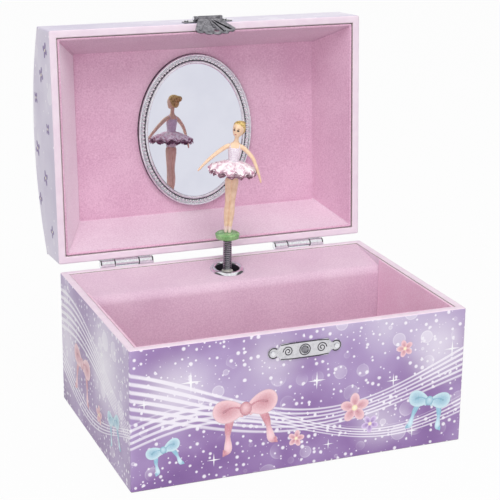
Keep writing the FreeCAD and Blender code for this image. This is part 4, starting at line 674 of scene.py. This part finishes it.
# Beads at equal steps along the middle of the channel.
BEADS, BEAD_RADIUS, BEAD_INSET, BEAD_HEIGHT = 104, 0.82, 2.35, 1.5
RUN_STEPS = 2000
run_wide, run_tall = FRAME_HALF_WIDE - BEAD_INSET, FRAME_HALF_TALL - BEAD_INSET
run = oval(0, 0, LINING_FLOOR - BEAD_HEIGHT, run_wide, run_tall, RUN_STEPS)
run.append(run[0])
lengths = [0.0]
for first, second in zip(run, run[1:]):
    lengths.append(lengths[-1] + math.dist(first, second))
bead_mesh = bmesh.new()
cursor = 0
for bead in range(BEADS):
    wanted = lengths[-1] * bead / BEADS
    while lengths[cursor] < wanted:
        cursor += 1
    centre = Matrix.Translation(Vector(run[cursor]) * MM)
    bmesh.ops.create_icosphere(bead_mesh, subdivisions=2, radius=BEAD_RADIUS * MM, matrix=centre)
beads_data = bpy.data.meshes.new("mirror_beads")
bead_mesh.to_mesh(beads_data)
bead_mesh.free()
beads_data.transform(LID_OPEN)
beads_data.materials.append(CHROME)
for face in beads_data.polygons:
    face.use_smooth = True
beads = bpy.data.objects.new("mirror_beads", beads_data)
bpy.context.scene.collection.objects.link(beads)
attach(beads, "lid")

# Hinges: dark rings of painted shade in the joints between the knuckles and at their ends.
KNUCKLE_RADIUS = 1.65
KNUCKLE_ENDS = 0.0, 0.27, 0.73, 1.0
JOINT_HALF, JOINT_FLAT, JOINT_LIFT = 0.3, 0.2, 0.07


def knuckle_joint(x):
    profile = (-JOINT_HALF, 0), (-JOINT_FLAT, JOINT_LIFT), (JOINT_FLAT, JOINT_LIFT), (JOINT_HALF, 0)
    rings = []
    for aside, lift in profile:
        reach = KNUCKLE_RADIUS + lift
        rings.append([
            (x + aside, HINGE.y / MM + reach * math.cos(turn), HINGE.z / MM + reach * math.sin(turn))
            for turn in full_turn(24)
        ])
    return skinned(rings, ends=False)


for _, name in SIDES:
    low, high = (corner[0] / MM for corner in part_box(f"hinge_base_leaf_{name}"))
    places = [low + (high - low) * share for share in KNUCKLE_ENDS]
    places = [min(max(x, low + JOINT_HALF), high - JOINT_HALF) for x in places]
    joints = joined(knuckle_joint(x) for x in places)
    piece(f"hinge_joints_{name}", *joints, PAINTED_SHADE, "base", slot="bright_plate")

# Eyelet: a rolled ring in the deck, dark inside, where its inner wall is painted shade.
EYELET_STEPS = 56
COIL_LOW, COIL_HIGH = 60.1, 74.95
DECK_SPOT = Matrix.Translation(Vector((0, SPINDLE_Y, COIL_LOW)) * MM) @ Matrix.Rotation(DECK_SLOPE, 4, "X")
eyelet_shape = skinned(
    [oval(0, 0, z, radius, radius, EYELET_STEPS) for radius, z in (
        (5.6, -3), (5.6, 0.4), (5.75, 0.85), (6.1, 1.15), (6.6, 1.25), (7.1, 1.1), (7.6, 0.7), (7.95, 0.25),
        (8.1, -0.15), (8.1, -0.6),
    )],
    ends=False,
)
eyelet = piece("deck_eyelet", *eyelet_shape, [CHROME, PAINTED_SHADE], "base", DECK_SPOT, slot="bright_plate")
for face in eyelet.data.polygons:
    face.material_index = 1 if face.index // EYELET_STEPS == 0 else 0
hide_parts("spindle_eyelet")

# Dancer's spring: a close coil of fine wire.
COIL_RADIUS, WIRE, PITCH = 1.72, 0.42, 0.93
COIL_STEPS_A_TURN = 18
UP = Vector((0, 0, 1))
coil_turns = (COIL_HIGH - COIL_LOW) / PITCH
coil_steps = round(coil_turns * COIL_STEPS_A_TURN)
coil_rings = []
for step in range(coil_steps + 1):
    turn = 2 * math.pi * coil_turns * step / coil_steps
    outward = Vector((math.cos(turn), math.sin(turn), 0))
    height = COIL_LOW + (COIL_HIGH - COIL_LOW) * step / coil_steps
    middle = outward * COIL_RADIUS + Vector((0, SPINDLE_Y, height))
    coil_rings.append([
        tuple(middle + (outward * math.cos(bend) + UP * math.sin(bend)) * WIRE) for bend in full_turn(8)
    ])
coil = piece("dancer_coil", *skinned(coil_rings), STEEL, None, slot="nickel_steel")
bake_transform(coil)
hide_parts("dancer_spring")

# Dancer: painted figure. Joints are (x, y, z, radius) and ovals are (x, y, z, half width, half depth),
# without x on the head and without x and y on the hips.
LEG = (
    (0.95, 0, 2.2, 0.86), (0.95, 0, 3.6, 0.92), (1.05, 0.35, 7.4, 1.32), (1.1, 0.45, 10, 1.5),
    (1.08, 0.2, 12.6, 1.32), (1.05, -0.05, 15, 1.24), (1.12, -0.05, 18.4, 1.52), (1.22, 0, 22.6, 1.86),
    (1.3, 0, 27, 2.1),
)
SHOE = (
    (0.86, -0.12, -0.3, 0.5), (0.88, -0.12, 0.05, 0.68), (0.9, -0.1, 0.9, 0.86), (0.94, 0.05, 2.1, 1.0),
    (0.95, 0.12, 3.0, 1.0), (0.95, 0.12, 3.5, 0.96),
)
HIPS = (
    (26, 2.5, 1.9), (27, 2.95, 2.3), (29, 2.9, 2.4), (31.4, 2.4, 2.2), (33, 2.3, 2.1),
)
CORSET = (
    (0, 0, 32.6, 2.45, 2.2), (0, 0, 34, 2.4, 2.1), (0.05, 0, 36, 2.65, 2.2), (0.1, 0, 38, 3.05, 2.4),
    (0.15, 0, 39.4, 3.2, 2.45), (0.2, 0, 40.4, 3.05, 2.1), (0.2, 0, 40.8, 2.7, 1.8),
)
CHEST = (
    (0.15, 0, 39.6, 2.8, 1.95), (0.2, 0, 40.8, 3.1, 1.9), (0.25, 0.05, 41.7, 3.05, 1.65),
    (0.3, 0.1, 42.5, 2.2, 1.35), (0.4, 0.1, 43.2, 1.25, 1.1), (0.5, 0, 44.2, 0.98, 0.98),
    (0.65, -0.1, 45.6, 0.98, 1.0), (0.8, -0.1, 47.4, 1.1, 1.1),
)
STRAP = (
    (1.9, -2.2, 39.6, 0.24), (2.15, -1.9, 41, 0.24), (2.2, -1.1, 42.2, 0.24), (2.2, 0.1, 42.75, 0.24),
    (2.15, 1.2, 42.1, 0.24), (1.9, 2, 40.4, 0.24),
)
LEFT_ARM = (
    (-1.9, 0, 41.3, 1.0), (-3.0, 0, 41.1, 1.14), (-4.6, -0.1, 40.2, 1.1), (-7, -0.3, 38.2, 0.98),
    (-9.2, -0.5, 36.2, 0.9), (-10.2, -0.6, 35.2, 0.88), (-12.4, -0.9, 32.9, 0.74),
    (-14.2, -1.15, 30.7, 0.56), (-14.9, -1.25, 29.8, 0.58), (-15.5, -1.35, 29, 0.46),
    (-16, -1.45, 28.3, 0.24),
)
RIGHT_ARM = (
    (1.9, 0, 41.3, 1.0), (3.0, -0.05, 41.2, 1.14), (4.4, -0.2, 40.4, 1.1), (6.4, -0.5, 38.8, 0.98),
    (8.4, -0.8, 36.8, 0.9), (9.3, -0.95, 35.5, 0.88), (10.8, -1.2, 32.3, 0.74), (12.2, -1.45, 28.7, 0.56),
    (12.7, -1.5, 27.4, 0.58), (13.1, -1.6, 26.2, 0.46), (13.4, -1.65, 25.2, 0.24),
)
SKULL = (
    (-1.45, CHIN_Z, 0.85, 0.8), (-1.3, 44.9, 1.5, 1.45), (-1.0, 45.6, 2.15, 2.1),
    (-0.7, 46.7, 2.7, 2.7), (-0.45, 48.1, 3.08, 3.2), (-0.25, 49.6, 3.2, 3.45),
    (-0.05, 51, 2.95, 3.2), (0.1, 52.1, 2.1, 2.4), (0.15, 52.7, 0.9, 1.0),
)
CROWN = (
    (1.6, 45.3, 1.1, 0.8), (1.5, 45.9, 2.3, 1.6), (1.2, 47.2, 3.15, 2.4), (0.85, 48.8, 3.5, 3.0),
    (0.5, 50.4, 3.5, 3.45), (0.35, 51.7, 3.0, 3.1), (0.35, 52.7, 1.9, 2.1), (0.4, 53.1, 0.7, 0.8),
)
BUN = (
    (3.7, 48.9, 0.7, 0.6), (3.8, 49.2, 1.4, 1.2), (4.0, 50.2, 1.95, 1.75), (4.1, 51.2, 1.85, 1.7),
    (4.0, 52.1, 1.3, 1.2), (3.95, 52.4, 0.6, 0.55),
)


def doll(name, rings, material, levels=2, matrix=DOLL):
    return piece(name, *skinned(rings), material, "dancer", matrix, levels, "figure_plastic")


def ovals(rows, *place):
    return [oval(*place, *row) for row in rows]


def on_side(side, joints):
    return [(side * x, y, z, radius) for x, y, z, radius in joints]


for side, name in SIDES:
    doll(f"dancer_leg_{name}", limb(on_side(side, LEG)), TIGHTS)
    doll(f"dancer_shoe_{name}", limb(on_side(side, SHOE)), SHOES)
doll("dancer_hips", ovals(HIPS, 0, 0), WHITE)
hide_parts("dancer_figure")
doll("dancer_bodice", ovals(CORSET), BODICE)
doll("dancer_chest", ovals(CHEST), SKIN)
for side, name in SIDES:
    doll(f"dancer_strap_{name}", limb(on_side(side, STRAP), 8), BODICE, 1)
doll("dancer_arm_left", limb(LEFT_ARM), SKIN)
doll("dancer_arm_right", limb(RIGHT_ARM), SKIN)
doll("dancer_head", ovals(SKULL, 0), SKIN, 2, HEAD)
doll("dancer_hair", ovals(CROWN, 0), HAIR, 2, HEAD)
doll("dancer_bun", ovals(BUN, 0), HAIR, 2, HEAD)

# Braid round the bun: a closed ring with three waves.
BRAID_REACH, BRAID_Y, BRAID_Z, BRAID_RADIUS = 1.75, 3.35, 50.5, 0.42
braid = []
for turn in full_turn(28):
    wave = BRAID_Y + 0.25 * math.sin(3 * turn)
    braid.append((BRAID_REACH * math.cos(turn), wave, BRAID_Z + BRAID_REACH * math.sin(turn), BRAID_RADIUS))
braid_rings = limb(braid, 8)
braid_shape = skinned(braid_rings + braid_rings[:1], ends=False)
piece("dancer_braid", *braid_shape, HAIR, "dancer", HEAD, 1, "figure_plastic")


def face_spot(name, x, z, wide, tall, material):
    """A painted oval that follows the front of the head."""
    rings = []
    for share in (0, 1 / 3, 2 / 3, 1):
        ring = []
        for turn in full_turn(14):
            spot_x = x + wide * share * math.cos(turn)
            spot_z = z + tall * share * math.sin(turn)
            over = next(index for index, level in enumerate(SKULL) if level[1] > spot_z)
            low, high = SKULL[over - 1], SKULL[over]
            part = (spot_z - low[1]) / (high[1] - low[1])
            middle, _, across, deep = (a + (b - a) * part for a, b in zip(low, high))
            lift = 0.05 * (1.4 - share)
            ring.append((spot_x, middle - deep * math.sqrt(1 - (spot_x / across) ** 2) - lift, spot_z))
        rings.append(ring)
    piece(name, *skinned(rings, ends=False), material, "dancer", HEAD, slot="figure_plastic")


for side, name in SIDES:
    face_spot(f"dancer_eye_{name}", side * 1.12, 48.5, 0.64, 0.48, DARK)
    face_spot(f"dancer_brow_{name}", side * 1.2, 49.55, 0.66, 0.15, BROW)
face_spot("dancer_mouth", 0, 46.2, 0.6, 0.24, LIPS)

# Skirt: three gathered layers of tulle.
WAIST = 2.3
STEPS_A_WAVE, OUT_STEPS = 10, 10


def skirt(name, reach, top, drop, waves, swing, turn, material):
    """One gathered layer, from the waist to the hem."""
    around_steps = waves * STEPS_A_WAVE
    points, faces = [], []
    for out in range(OUT_STEPS + 1):
        share = out / OUT_STEPS
        radius = WAIST + (reach - WAIST) * share
        for angle in full_turn(around_steps):
            wave = math.sin(waves * angle + turn) + 0.3 * math.sin(2.3 * waves * angle + 1.3 * turn)
            z = top - drop * share ** 1.35 + swing * wave * share ** 1.3
            far = radius * (1 + 0.025 * share * math.sin(waves * angle * 0.5 + 2 * turn))
            points.append((far * math.cos(angle), far * math.sin(angle), z))
    for out in range(OUT_STEPS):
        for step in range(around_steps):
            beside = (step + 1) % around_steps
            low = out * around_steps
            faces.append((low + step, low + around_steps + step, low + around_steps + beside, low + beside))
    obj = piece(name, points, faces, material, "dancer", DOLL, slot="tulle")
    layer = obj.data.uv_layers.new(name="UVMap")
    for face in obj.data.polygons:
        last = face.index % around_steps == around_steps - 1
        for loop in face.loop_indices:
            vertex = obj.data.loops[loop].vertex_index
            column = vertex % around_steps
            share = around_steps if last and column == 0 else column
            layer.data[loop].uv = (share / around_steps, vertex // around_steps / OUT_STEPS)
    return obj


top_skirt = skirt("dancer_skirt_top", 11.5, 34.3, 4.2, 12, 0.75, 0.0, TULLE_TOP)
skirt("dancer_skirt_middle", 11.3, 33.7, 4.5, 13, 0.7, 1.1, TULLE_MID)
skirt("dancer_skirt_under", 10.6, 33.1, 4.6, 14, 0.6, 2.3, TULLE_LOW)
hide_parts("dancer_tutu")

# Keeper: dark lines of painted shade along its edges, round its ends and stud, and a scroll on each side.
KEEPER_Z = 53
KEEPER_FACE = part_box("latch_keeper")[0][1] / MM - 0.04
SHADE_RIDGE_WIDTH, SHADE_RIDGE_HEIGHT = 0.6, 0.05
EDGE_LINE, END_X, END_LINE, STUD_LINE, SCROLL_X, SCROLL_LINE = 3.4, 14.1, 2.15, 2.35, 7.6, 2.3


def shade_ridge(path):
    """A raised line with a ridge along a path of (x, z) on the keeper's face."""
    points, faces = [], []
    foot = KEEPER_FACE + SHADE_RIDGE_HEIGHT
    for index, (x, z) in enumerate(path):
        before, after = path[max(index - 1, 0)], path[min(index + 1, len(path) - 1)]
        run = math.dist(before, after) or 1
        across = Vector((before[1] - after[1], after[0] - before[0])) / run * SHADE_RIDGE_WIDTH / 2
        points.append((x + across.x, foot, z + across.y))
        points.append((x, KEEPER_FACE, z))
        points.append((x - across.x, foot, z - across.y))
    for index in range(len(path) - 1):
        for side in (0, 1):
            low = 3 * index + side
            faces.append((low, low + 1, low + 4, low + 3))
    return points, faces


def bend(side, x, radius, turn):
    return side * (x + radius * math.cos(turn)), KEEPER_Z + radius * math.sin(turn)


lines = []
for side, _ in SIDES:
    for up in (-1, 1):
        steps = [0.6 * step for step in range(19)]
        lines.append([(side * x, KEEPER_Z + up * (EDGE_LINE - 0.06 * max(0, x - 6))) for x in steps])
    lines.append([bend(side, END_X, END_LINE, 0.26 * step) for step in range(-9, 10)])
    lines.append([bend(side, SCROLL_X, SCROLL_LINE - 0.085 * step, 0.5 * step) for step in range(24)])
    lines.append([bend(side, 0, STUD_LINE, 0.2 * step) for step in range(-8, 9)])
piece("keeper_painted_shade_lines", *joined(shade_ridge(line) for line in lines), PAINTED_SHADE, "base", slot="bright_plate")


# Printed motifs: generic bows, blossoms and stars, a hair above the paper.

def dimmed(ink, share):
    return tuple(value * share for value in ink)


class Sheet:
    """Flat ink shapes in one mesh, placed on a wall of the box."""

    def __init__(self, name, body, spread, matrix, slot):
        self.name, self.body, self.spread, self.matrix, self.slot = name, body, spread, matrix, slot
        self.points, self.faces, self.inks = [], [], []

    def shape(self, outline, centre, rim, heart, lift=0.04):
        """A fan from a middle point to an outline, shaded from heart to rim."""
        start = len(self.points)
        self.points.append((*centre, lift))
        self.inks.append(heart)
        between = tuple((a + b) / 2 for a, b in zip(heart, rim))
        for share, ink in ((0.55, between), (0.9, rim), (1.0, dimmed(rim, 0.82))):
            for x, y in outline:
                spot_x = centre[0] + (x - centre[0]) * share
                spot_y = centre[1] + (y - centre[1]) * share
                self.points.append((spot_x, spot_y, lift))
                self.inks.append(ink)
        count = len(outline)
        for index in range(count):
            beside = (index + 1) % count
            self.faces.append((start, start + 1 + index, start + 1 + beside))
            for ring in range(2):
                low = start + 1 + ring * count
                self.faces.append((low + index, low + count + index, low + count + beside, low + beside))

    def ribbon(self, path, width, pale, deep, lift=0.03):
        """A strip along a path whose shade turns with its run."""
        start = len(self.points)
        for index, (x, y) in enumerate(path):
            before, after = path[max(index - 1, 0)], path[min(index + 1, len(path) - 1)]
            run = math.hypot(after[0] - before[0], after[1] - before[1]) or 1
            across_x, across_y = -(after[1] - before[1]) / run, (after[0] - before[0]) / run
            wide = width * (0.55 + 0.45 * abs(math.cos(index * 0.42)))
            shade = 0.5 + 0.5 * math.sin(index * 0.55)
            ink = tuple(a * shade + b * (1 - shade) for a, b in zip(pale, deep))
            for side in (-1, 0, 1):
                self.points.append((x + across_x * wide * side / 2, y + across_y * wide * side / 2, lift))
                self.inks.append(tuple(min(1, c) for c in dimmed(ink, 0.95 if side else 1.12)))
        for index in range(len(path) - 1):
            for side in (0, 1):
                low = start + 3 * index + side
                self.faces.append((low, low + 3, low + 4, low + 1))

    def bow(self, x, y, size, pale, deep, turn=0.0):
        """Two tails, two loops with a fold in each, and a knot."""
        def spin(along, up):
            cosine, sine = math.cos(turn), math.sin(turn)
            return x + size * (along * cosine - up * sine), y + size * (along * sine + up * cosine)

        for side in (-1, 1):
            path = []
            for step in range(22):
                share = step / 21
                out = side * (0.06 + 0.62 * share + 0.1 * math.sin(5 * share))
                path.append(spin(out, -0.08 - 0.75 * share + 0.14 * math.sin(6.3 * share)))
            self.ribbon(path, 0.17 * size, pale, deep)
        for side in (-1, 1):
            loop = []
            for angle in full_turn(30):
                reach = 0.34 * (1 - math.cos(angle))
                rise = 0.3 * math.sin(angle) * (0.35 + 0.65 * math.sin(angle / 2)) + 0.1 * reach
                loop.append(spin(side * reach * 1.02, rise))
            self.shape(loop, spin(side * 0.42, 0.05), pale, deep)
            shares = [step / 9 for step in range(10)]
            fold = [spin(side * (0.08 + 0.4 * part), 0.02 + 0.07 * math.sin(3 * part)) for part in shares]
            self.ribbon(fold, 0.05 * size, deep, dimmed(deep, 0.8), 0.05)
        knot = [spin(0.13 * math.cos(angle), 0.15 * math.sin(angle)) for angle in full_turn(18)]
        self.shape(knot, spin(0, 0.03), deep, pale, 0.06)

    def blossom(self, x, y, size, pale, deep, petals=5, turn=0.3):
        for petal in range(petals):
            angle = turn + 2 * math.pi * petal / petals
            out_x, out_y = math.cos(angle), math.sin(angle)
            middle_x, middle_y = x + 0.5 * size * out_x, y + 0.5 * size * out_y
            ring = []
            for along, aside, _ in oval(0, 0, 0, 0.42 * size, 0.3 * size, 16):
                spot_x = middle_x + along * out_x - aside * out_y
                ring.append((spot_x, middle_y + along * out_y + aside * out_x))
            heart = x + 0.3 * size * out_x, y + 0.3 * size * out_y
            self.shape(ring, heart, pale, deep, 0.04 + 0.003 * petal)
        eye = [spot[:2] for spot in oval(x, y, 0, 0.18 * size, 0.18 * size, 12)]
        self.shape(eye, (x, y), srgb(250, 232, 180), srgb(255, 250, 230), 0.07)

    def star(self, x, y, size):
        ring = []
        for step, turn in enumerate(full_turn(8)):
            reach = size if step % 2 == 0 else size * 0.13
            angle = turn + math.pi / 2
            ring.append((x + reach * math.cos(angle), y + reach * math.sin(angle)))
        self.shape(ring, (x, y), srgb(250, 247, 254), srgb(255, 255, 255), 0.05)

    def make(self):
        placed = [self.spread(*point) for point in self.points]
        obj = piece(self.name, placed, self.faces, INK, self.body, self.matrix, slot=self.slot)
        layer = obj.data.color_attributes.new("ink", "FLOAT_COLOR", "POINT")
        for index, ink in enumerate(self.inks):
            layer.data[index].color = (*ink[:3], 1)


def on_front(x, y, lift):
    return x, -HALF_DEEP - lift, y


def on_back(x, y, lift):
    return -x, HALF_DEEP + lift, y


def on_left(x, y, lift):
    return -HALF_WIDE - lift, -x, y


def on_right(x, y, lift):
    return HALF_WIDE + lift, x, y


def on_dome(x, y, lift):
    turn = y / DOME_RADIUS
    reach = DOME_RADIUS + lift
    return x, reach * math.sin(turn), DOME_CENTRE + reach * math.cos(turn)


PINK = srgb(246, 206, 212), srgb(206, 136, 150)
BLUE = srgb(206, 232, 242), srgb(138, 188, 210)
LILAC = srgb(226, 206, 240), srgb(150, 112, 184)
for name, spread, bows, blossoms, stars in (
    (
        "front_motifs", on_front,
        ((-26, 30, 21, *PINK, 0.12), (60, 21, 15, *BLUE, -0.2), (-62, 17, 11, *BLUE, 0.3)),
        ((24, 23, 7.5, *PINK), (31.5, 14.5, 4.6, *LILAC, 5, 0.9), (-3, 13, 4.2, *PINK, 5, 0.1),
         (47, 47, 4.4, *PINK, 5, 0.6)),
        ((-50, 45, 5), (6, 38, 4.2), (42, 33, 3.4), (-70, 38, 3), (70, 44, 4), (12, 8, 2.6), (-40, 9, 3.2),
         (52, 8, 3)),
    ),
    (
        "left_motifs", on_left,
        ((-18, 30, 19, *PINK, -0.1), (30, 22, 13, *BLUE, 0.25)),
        ((8, 16, 5, *PINK),),
        ((-42, 44, 4), (14, 46, 3.4), (44, 45, 3), (-34, 12, 3)),
    ),
    (
        "right_motifs", on_right,
        ((16, 31, 18, *PINK, 0.15), (-28, 21, 13, *BLUE, -0.2)),
        ((-6, 15, 5, *LILAC),),
        ((-40, 46, 4), (36, 12, 3), (0, 48, 3)),
    ),
    (
        "back_motifs", on_back,
        ((-50, 27, 18, *PINK, 0.1), (52, 30, 15, *BLUE, -0.15)),
        ((30, 16, 6, *PINK), (-24, 13, 4.6, *LILAC)),
        ((-66, 46, 4), (24, 40, 3.2), (66, 12, 3)),
    ),
):
    wall = Sheet(name, "base", spread, Matrix.Identity(4), "base_print")
    for bow in bows:
        wall.bow(*bow)
    for blossom in blossoms:
        wall.blossom(*blossom)
    for star in stars:
        wall.star(*star)
    wall.make()

END_SPOTS = (-40, 72), (-16, 80), (8, 72), (32, 80), (-28, 92), (-4, 93), (20, 92), (44, 71)
END_VIOLET = srgb(126, 92, 164), srgb(92, 60, 132)
TOP_VIOLET = srgb(140, 108, 178), srgb(104, 72, 146)
for name, spread in (("lid_left_motifs", on_left), ("lid_right_motifs", on_right)):
    lid_end = Sheet(name, "lid", spread, LID_OPEN, "lid_print")
    for index, (x, y) in enumerate(END_SPOTS):
        lid_end.blossom(x, y, 4.2 if index % 2 else 3.4, *END_VIOLET, 4, 0.4 * index)
    lid_end.make()
lid_top = Sheet("lid_top_motifs", "lid", on_dome, LID_OPEN, "lid_print")
for row in range(4):
    for column in range(7):
        x = -63 + 21 * column + (10 if row % 2 else 0)
        if abs(x) < 71:
            lid_top.blossom(x, -39 + 26 * row, 2.8, *TOP_VIOLET, 4, 0.5 * column + row)
lid_top.bow(0, 0, 26, *PINK, 0.1)
for star in ((-40, 12, 4), (36, -16, 4.4), (52, 24, 3.4), (-54, -24, 3.4)):
    lid_top.star(*star)
lid_top.make()

# Floor: pale paper, plain white to the eye and in reflections.
FLOOR_REACH, FLOOR_DROP = 5, 0.0002
floor_looks = Looks("floor_paper", 0.9)
floor_looks.colour(floor_looks.mix(floor_looks.noise(30, 2), srgb(204, 203, 204), srgb(210, 209, 210)))
path = floor_looks.node("ShaderNodeLightPath").outputs
seen = floor_looks.math("MAXIMUM", path["Is Glossy Ray"], path["Is Transmission Ray"])
seen = floor_looks.math("MAXIMUM", seen, floor_looks.math("MULTIPLY", path["Is Camera Ray"], 0.96))
glow = floor_looks.node("ShaderNodeEmission", {"Color": (1, 1, 1, 1), "Strength": 1.0})
paper = floor_looks.shader.outputs[0]
shade = floor_looks.node("ShaderNodeMixShader", {0: seen, 1: paper, 2: glow.outputs[0]})
floor_looks.put(shade.outputs[0], floor_looks.tree.nodes["Material Output"].inputs["Surface"])
floor_mesh = bpy.data.meshes.new("floor")
floor_corners = [(x * FLOOR_REACH, y * FLOOR_REACH, 0) for x, y in ((-1, -1), (1, -1), (1, 1), (-1, 1))]
floor_mesh.from_pydata(floor_corners, [], [(0, 1, 2, 3)])
floor_mesh.materials.append(floor_looks.material)
floor = bpy.data.objects.new("floor", floor_mesh)
floor.location.z = -FLOOR_DROP
bpy.context.scene.collection.objects.link(floor)

# World: plain white to the eye; mirrors and chrome see dark flags at both sides of it.
SKY_LIGHT = 0.56
world = bpy.data.worlds.new("studio")
bpy.context.scene.world = world
world.use_nodes = True
sky = Nodes(world.node_tree)
path = sky.node("ShaderNodeLightPath").outputs
heading = sky.node("ShaderNodeSeparateXYZ", {0: sky.node("ShaderNodeTexCoord").outputs["Generated"]})
aside = sky.math("ABSOLUTE", heading.outputs[0])
flags = sky.node("ShaderNodeMapRange", {0: aside, 1: 0.62, 2: 0.72, 3: 0.95, 4: 0.12})
lit = sky.node("ShaderNodeMix", {0: path["Is Glossy Ray"], 2: SKY_LIGHT, 3: flags.outputs[0]})
shown_sky = sky.node("ShaderNodeMix", {0: path["Is Camera Ray"], 2: lit.outputs[0], 3: 1.0})
background = world.node_tree.nodes["Background"].inputs
background["Color"].default_value = (1, 1, 1, 1)
sky.put(shown_sky.outputs[0], background["Strength"])


def softbox(name, place, aim, size, power):
    lamp = bpy.data.lights.new(name, "AREA")
    lamp.shape = "RECTANGLE"
    lamp.size, lamp.size_y = size
    lamp.energy = power
    obj = bpy.data.objects.new(name, lamp)
    obj.location = place
    obj.rotation_euler = (Vector(aim) - Vector(place)).to_track_quat("-Z", "Y").to_euler()
    obj.visible_glossy = False
    bpy.context.scene.collection.objects.link(obj)


softbox("key", (-0.22, -0.8, 1.7), (0, 0, 0.08), (1.3, 1.3), 18)
softbox("fill", (-0.55, -1.5, 0.45), (0, 0, 0.1), (1.2, 0.6), 6.2)

# Camera: fitted to the edges of the box in the photo.
AIM = Vector((-3.555, 0, 80.73)) * MM
DISTANCE = 664.08
azimuth, elevation, roll = (math.radians(value) for value in (-21.686, 17.266, 0.604))
camera = bpy.data.cameras.new("camera")
camera.sensor_fit = "HORIZONTAL"
camera.sensor_width = 36
camera.lens = 108.49
camera.clip_start = 0.01
viewer = bpy.data.objects.new("camera", camera)
bpy.context.scene.collection.objects.link(viewer)
level = math.cos(elevation)
away = Vector((math.sin(azimuth) * level, -math.cos(azimuth) * level, math.sin(elevation)))
sideways = (-away).cross(UP).normalized()
upward = sideways.cross(-away)
right_hand = sideways * math.cos(roll) + upward * math.sin(roll)
overhead = upward * math.cos(roll) - sideways * math.sin(roll)
spot = AIM + away * DISTANCE * MM
viewer.matrix_world = Matrix.Translation(spot) @ Matrix((right_hand, overhead, away)).transposed().to_4x4()
bpy.context.scene.camera = viewer
bpy.context.scene.view_settings.view_transform = "Standard"
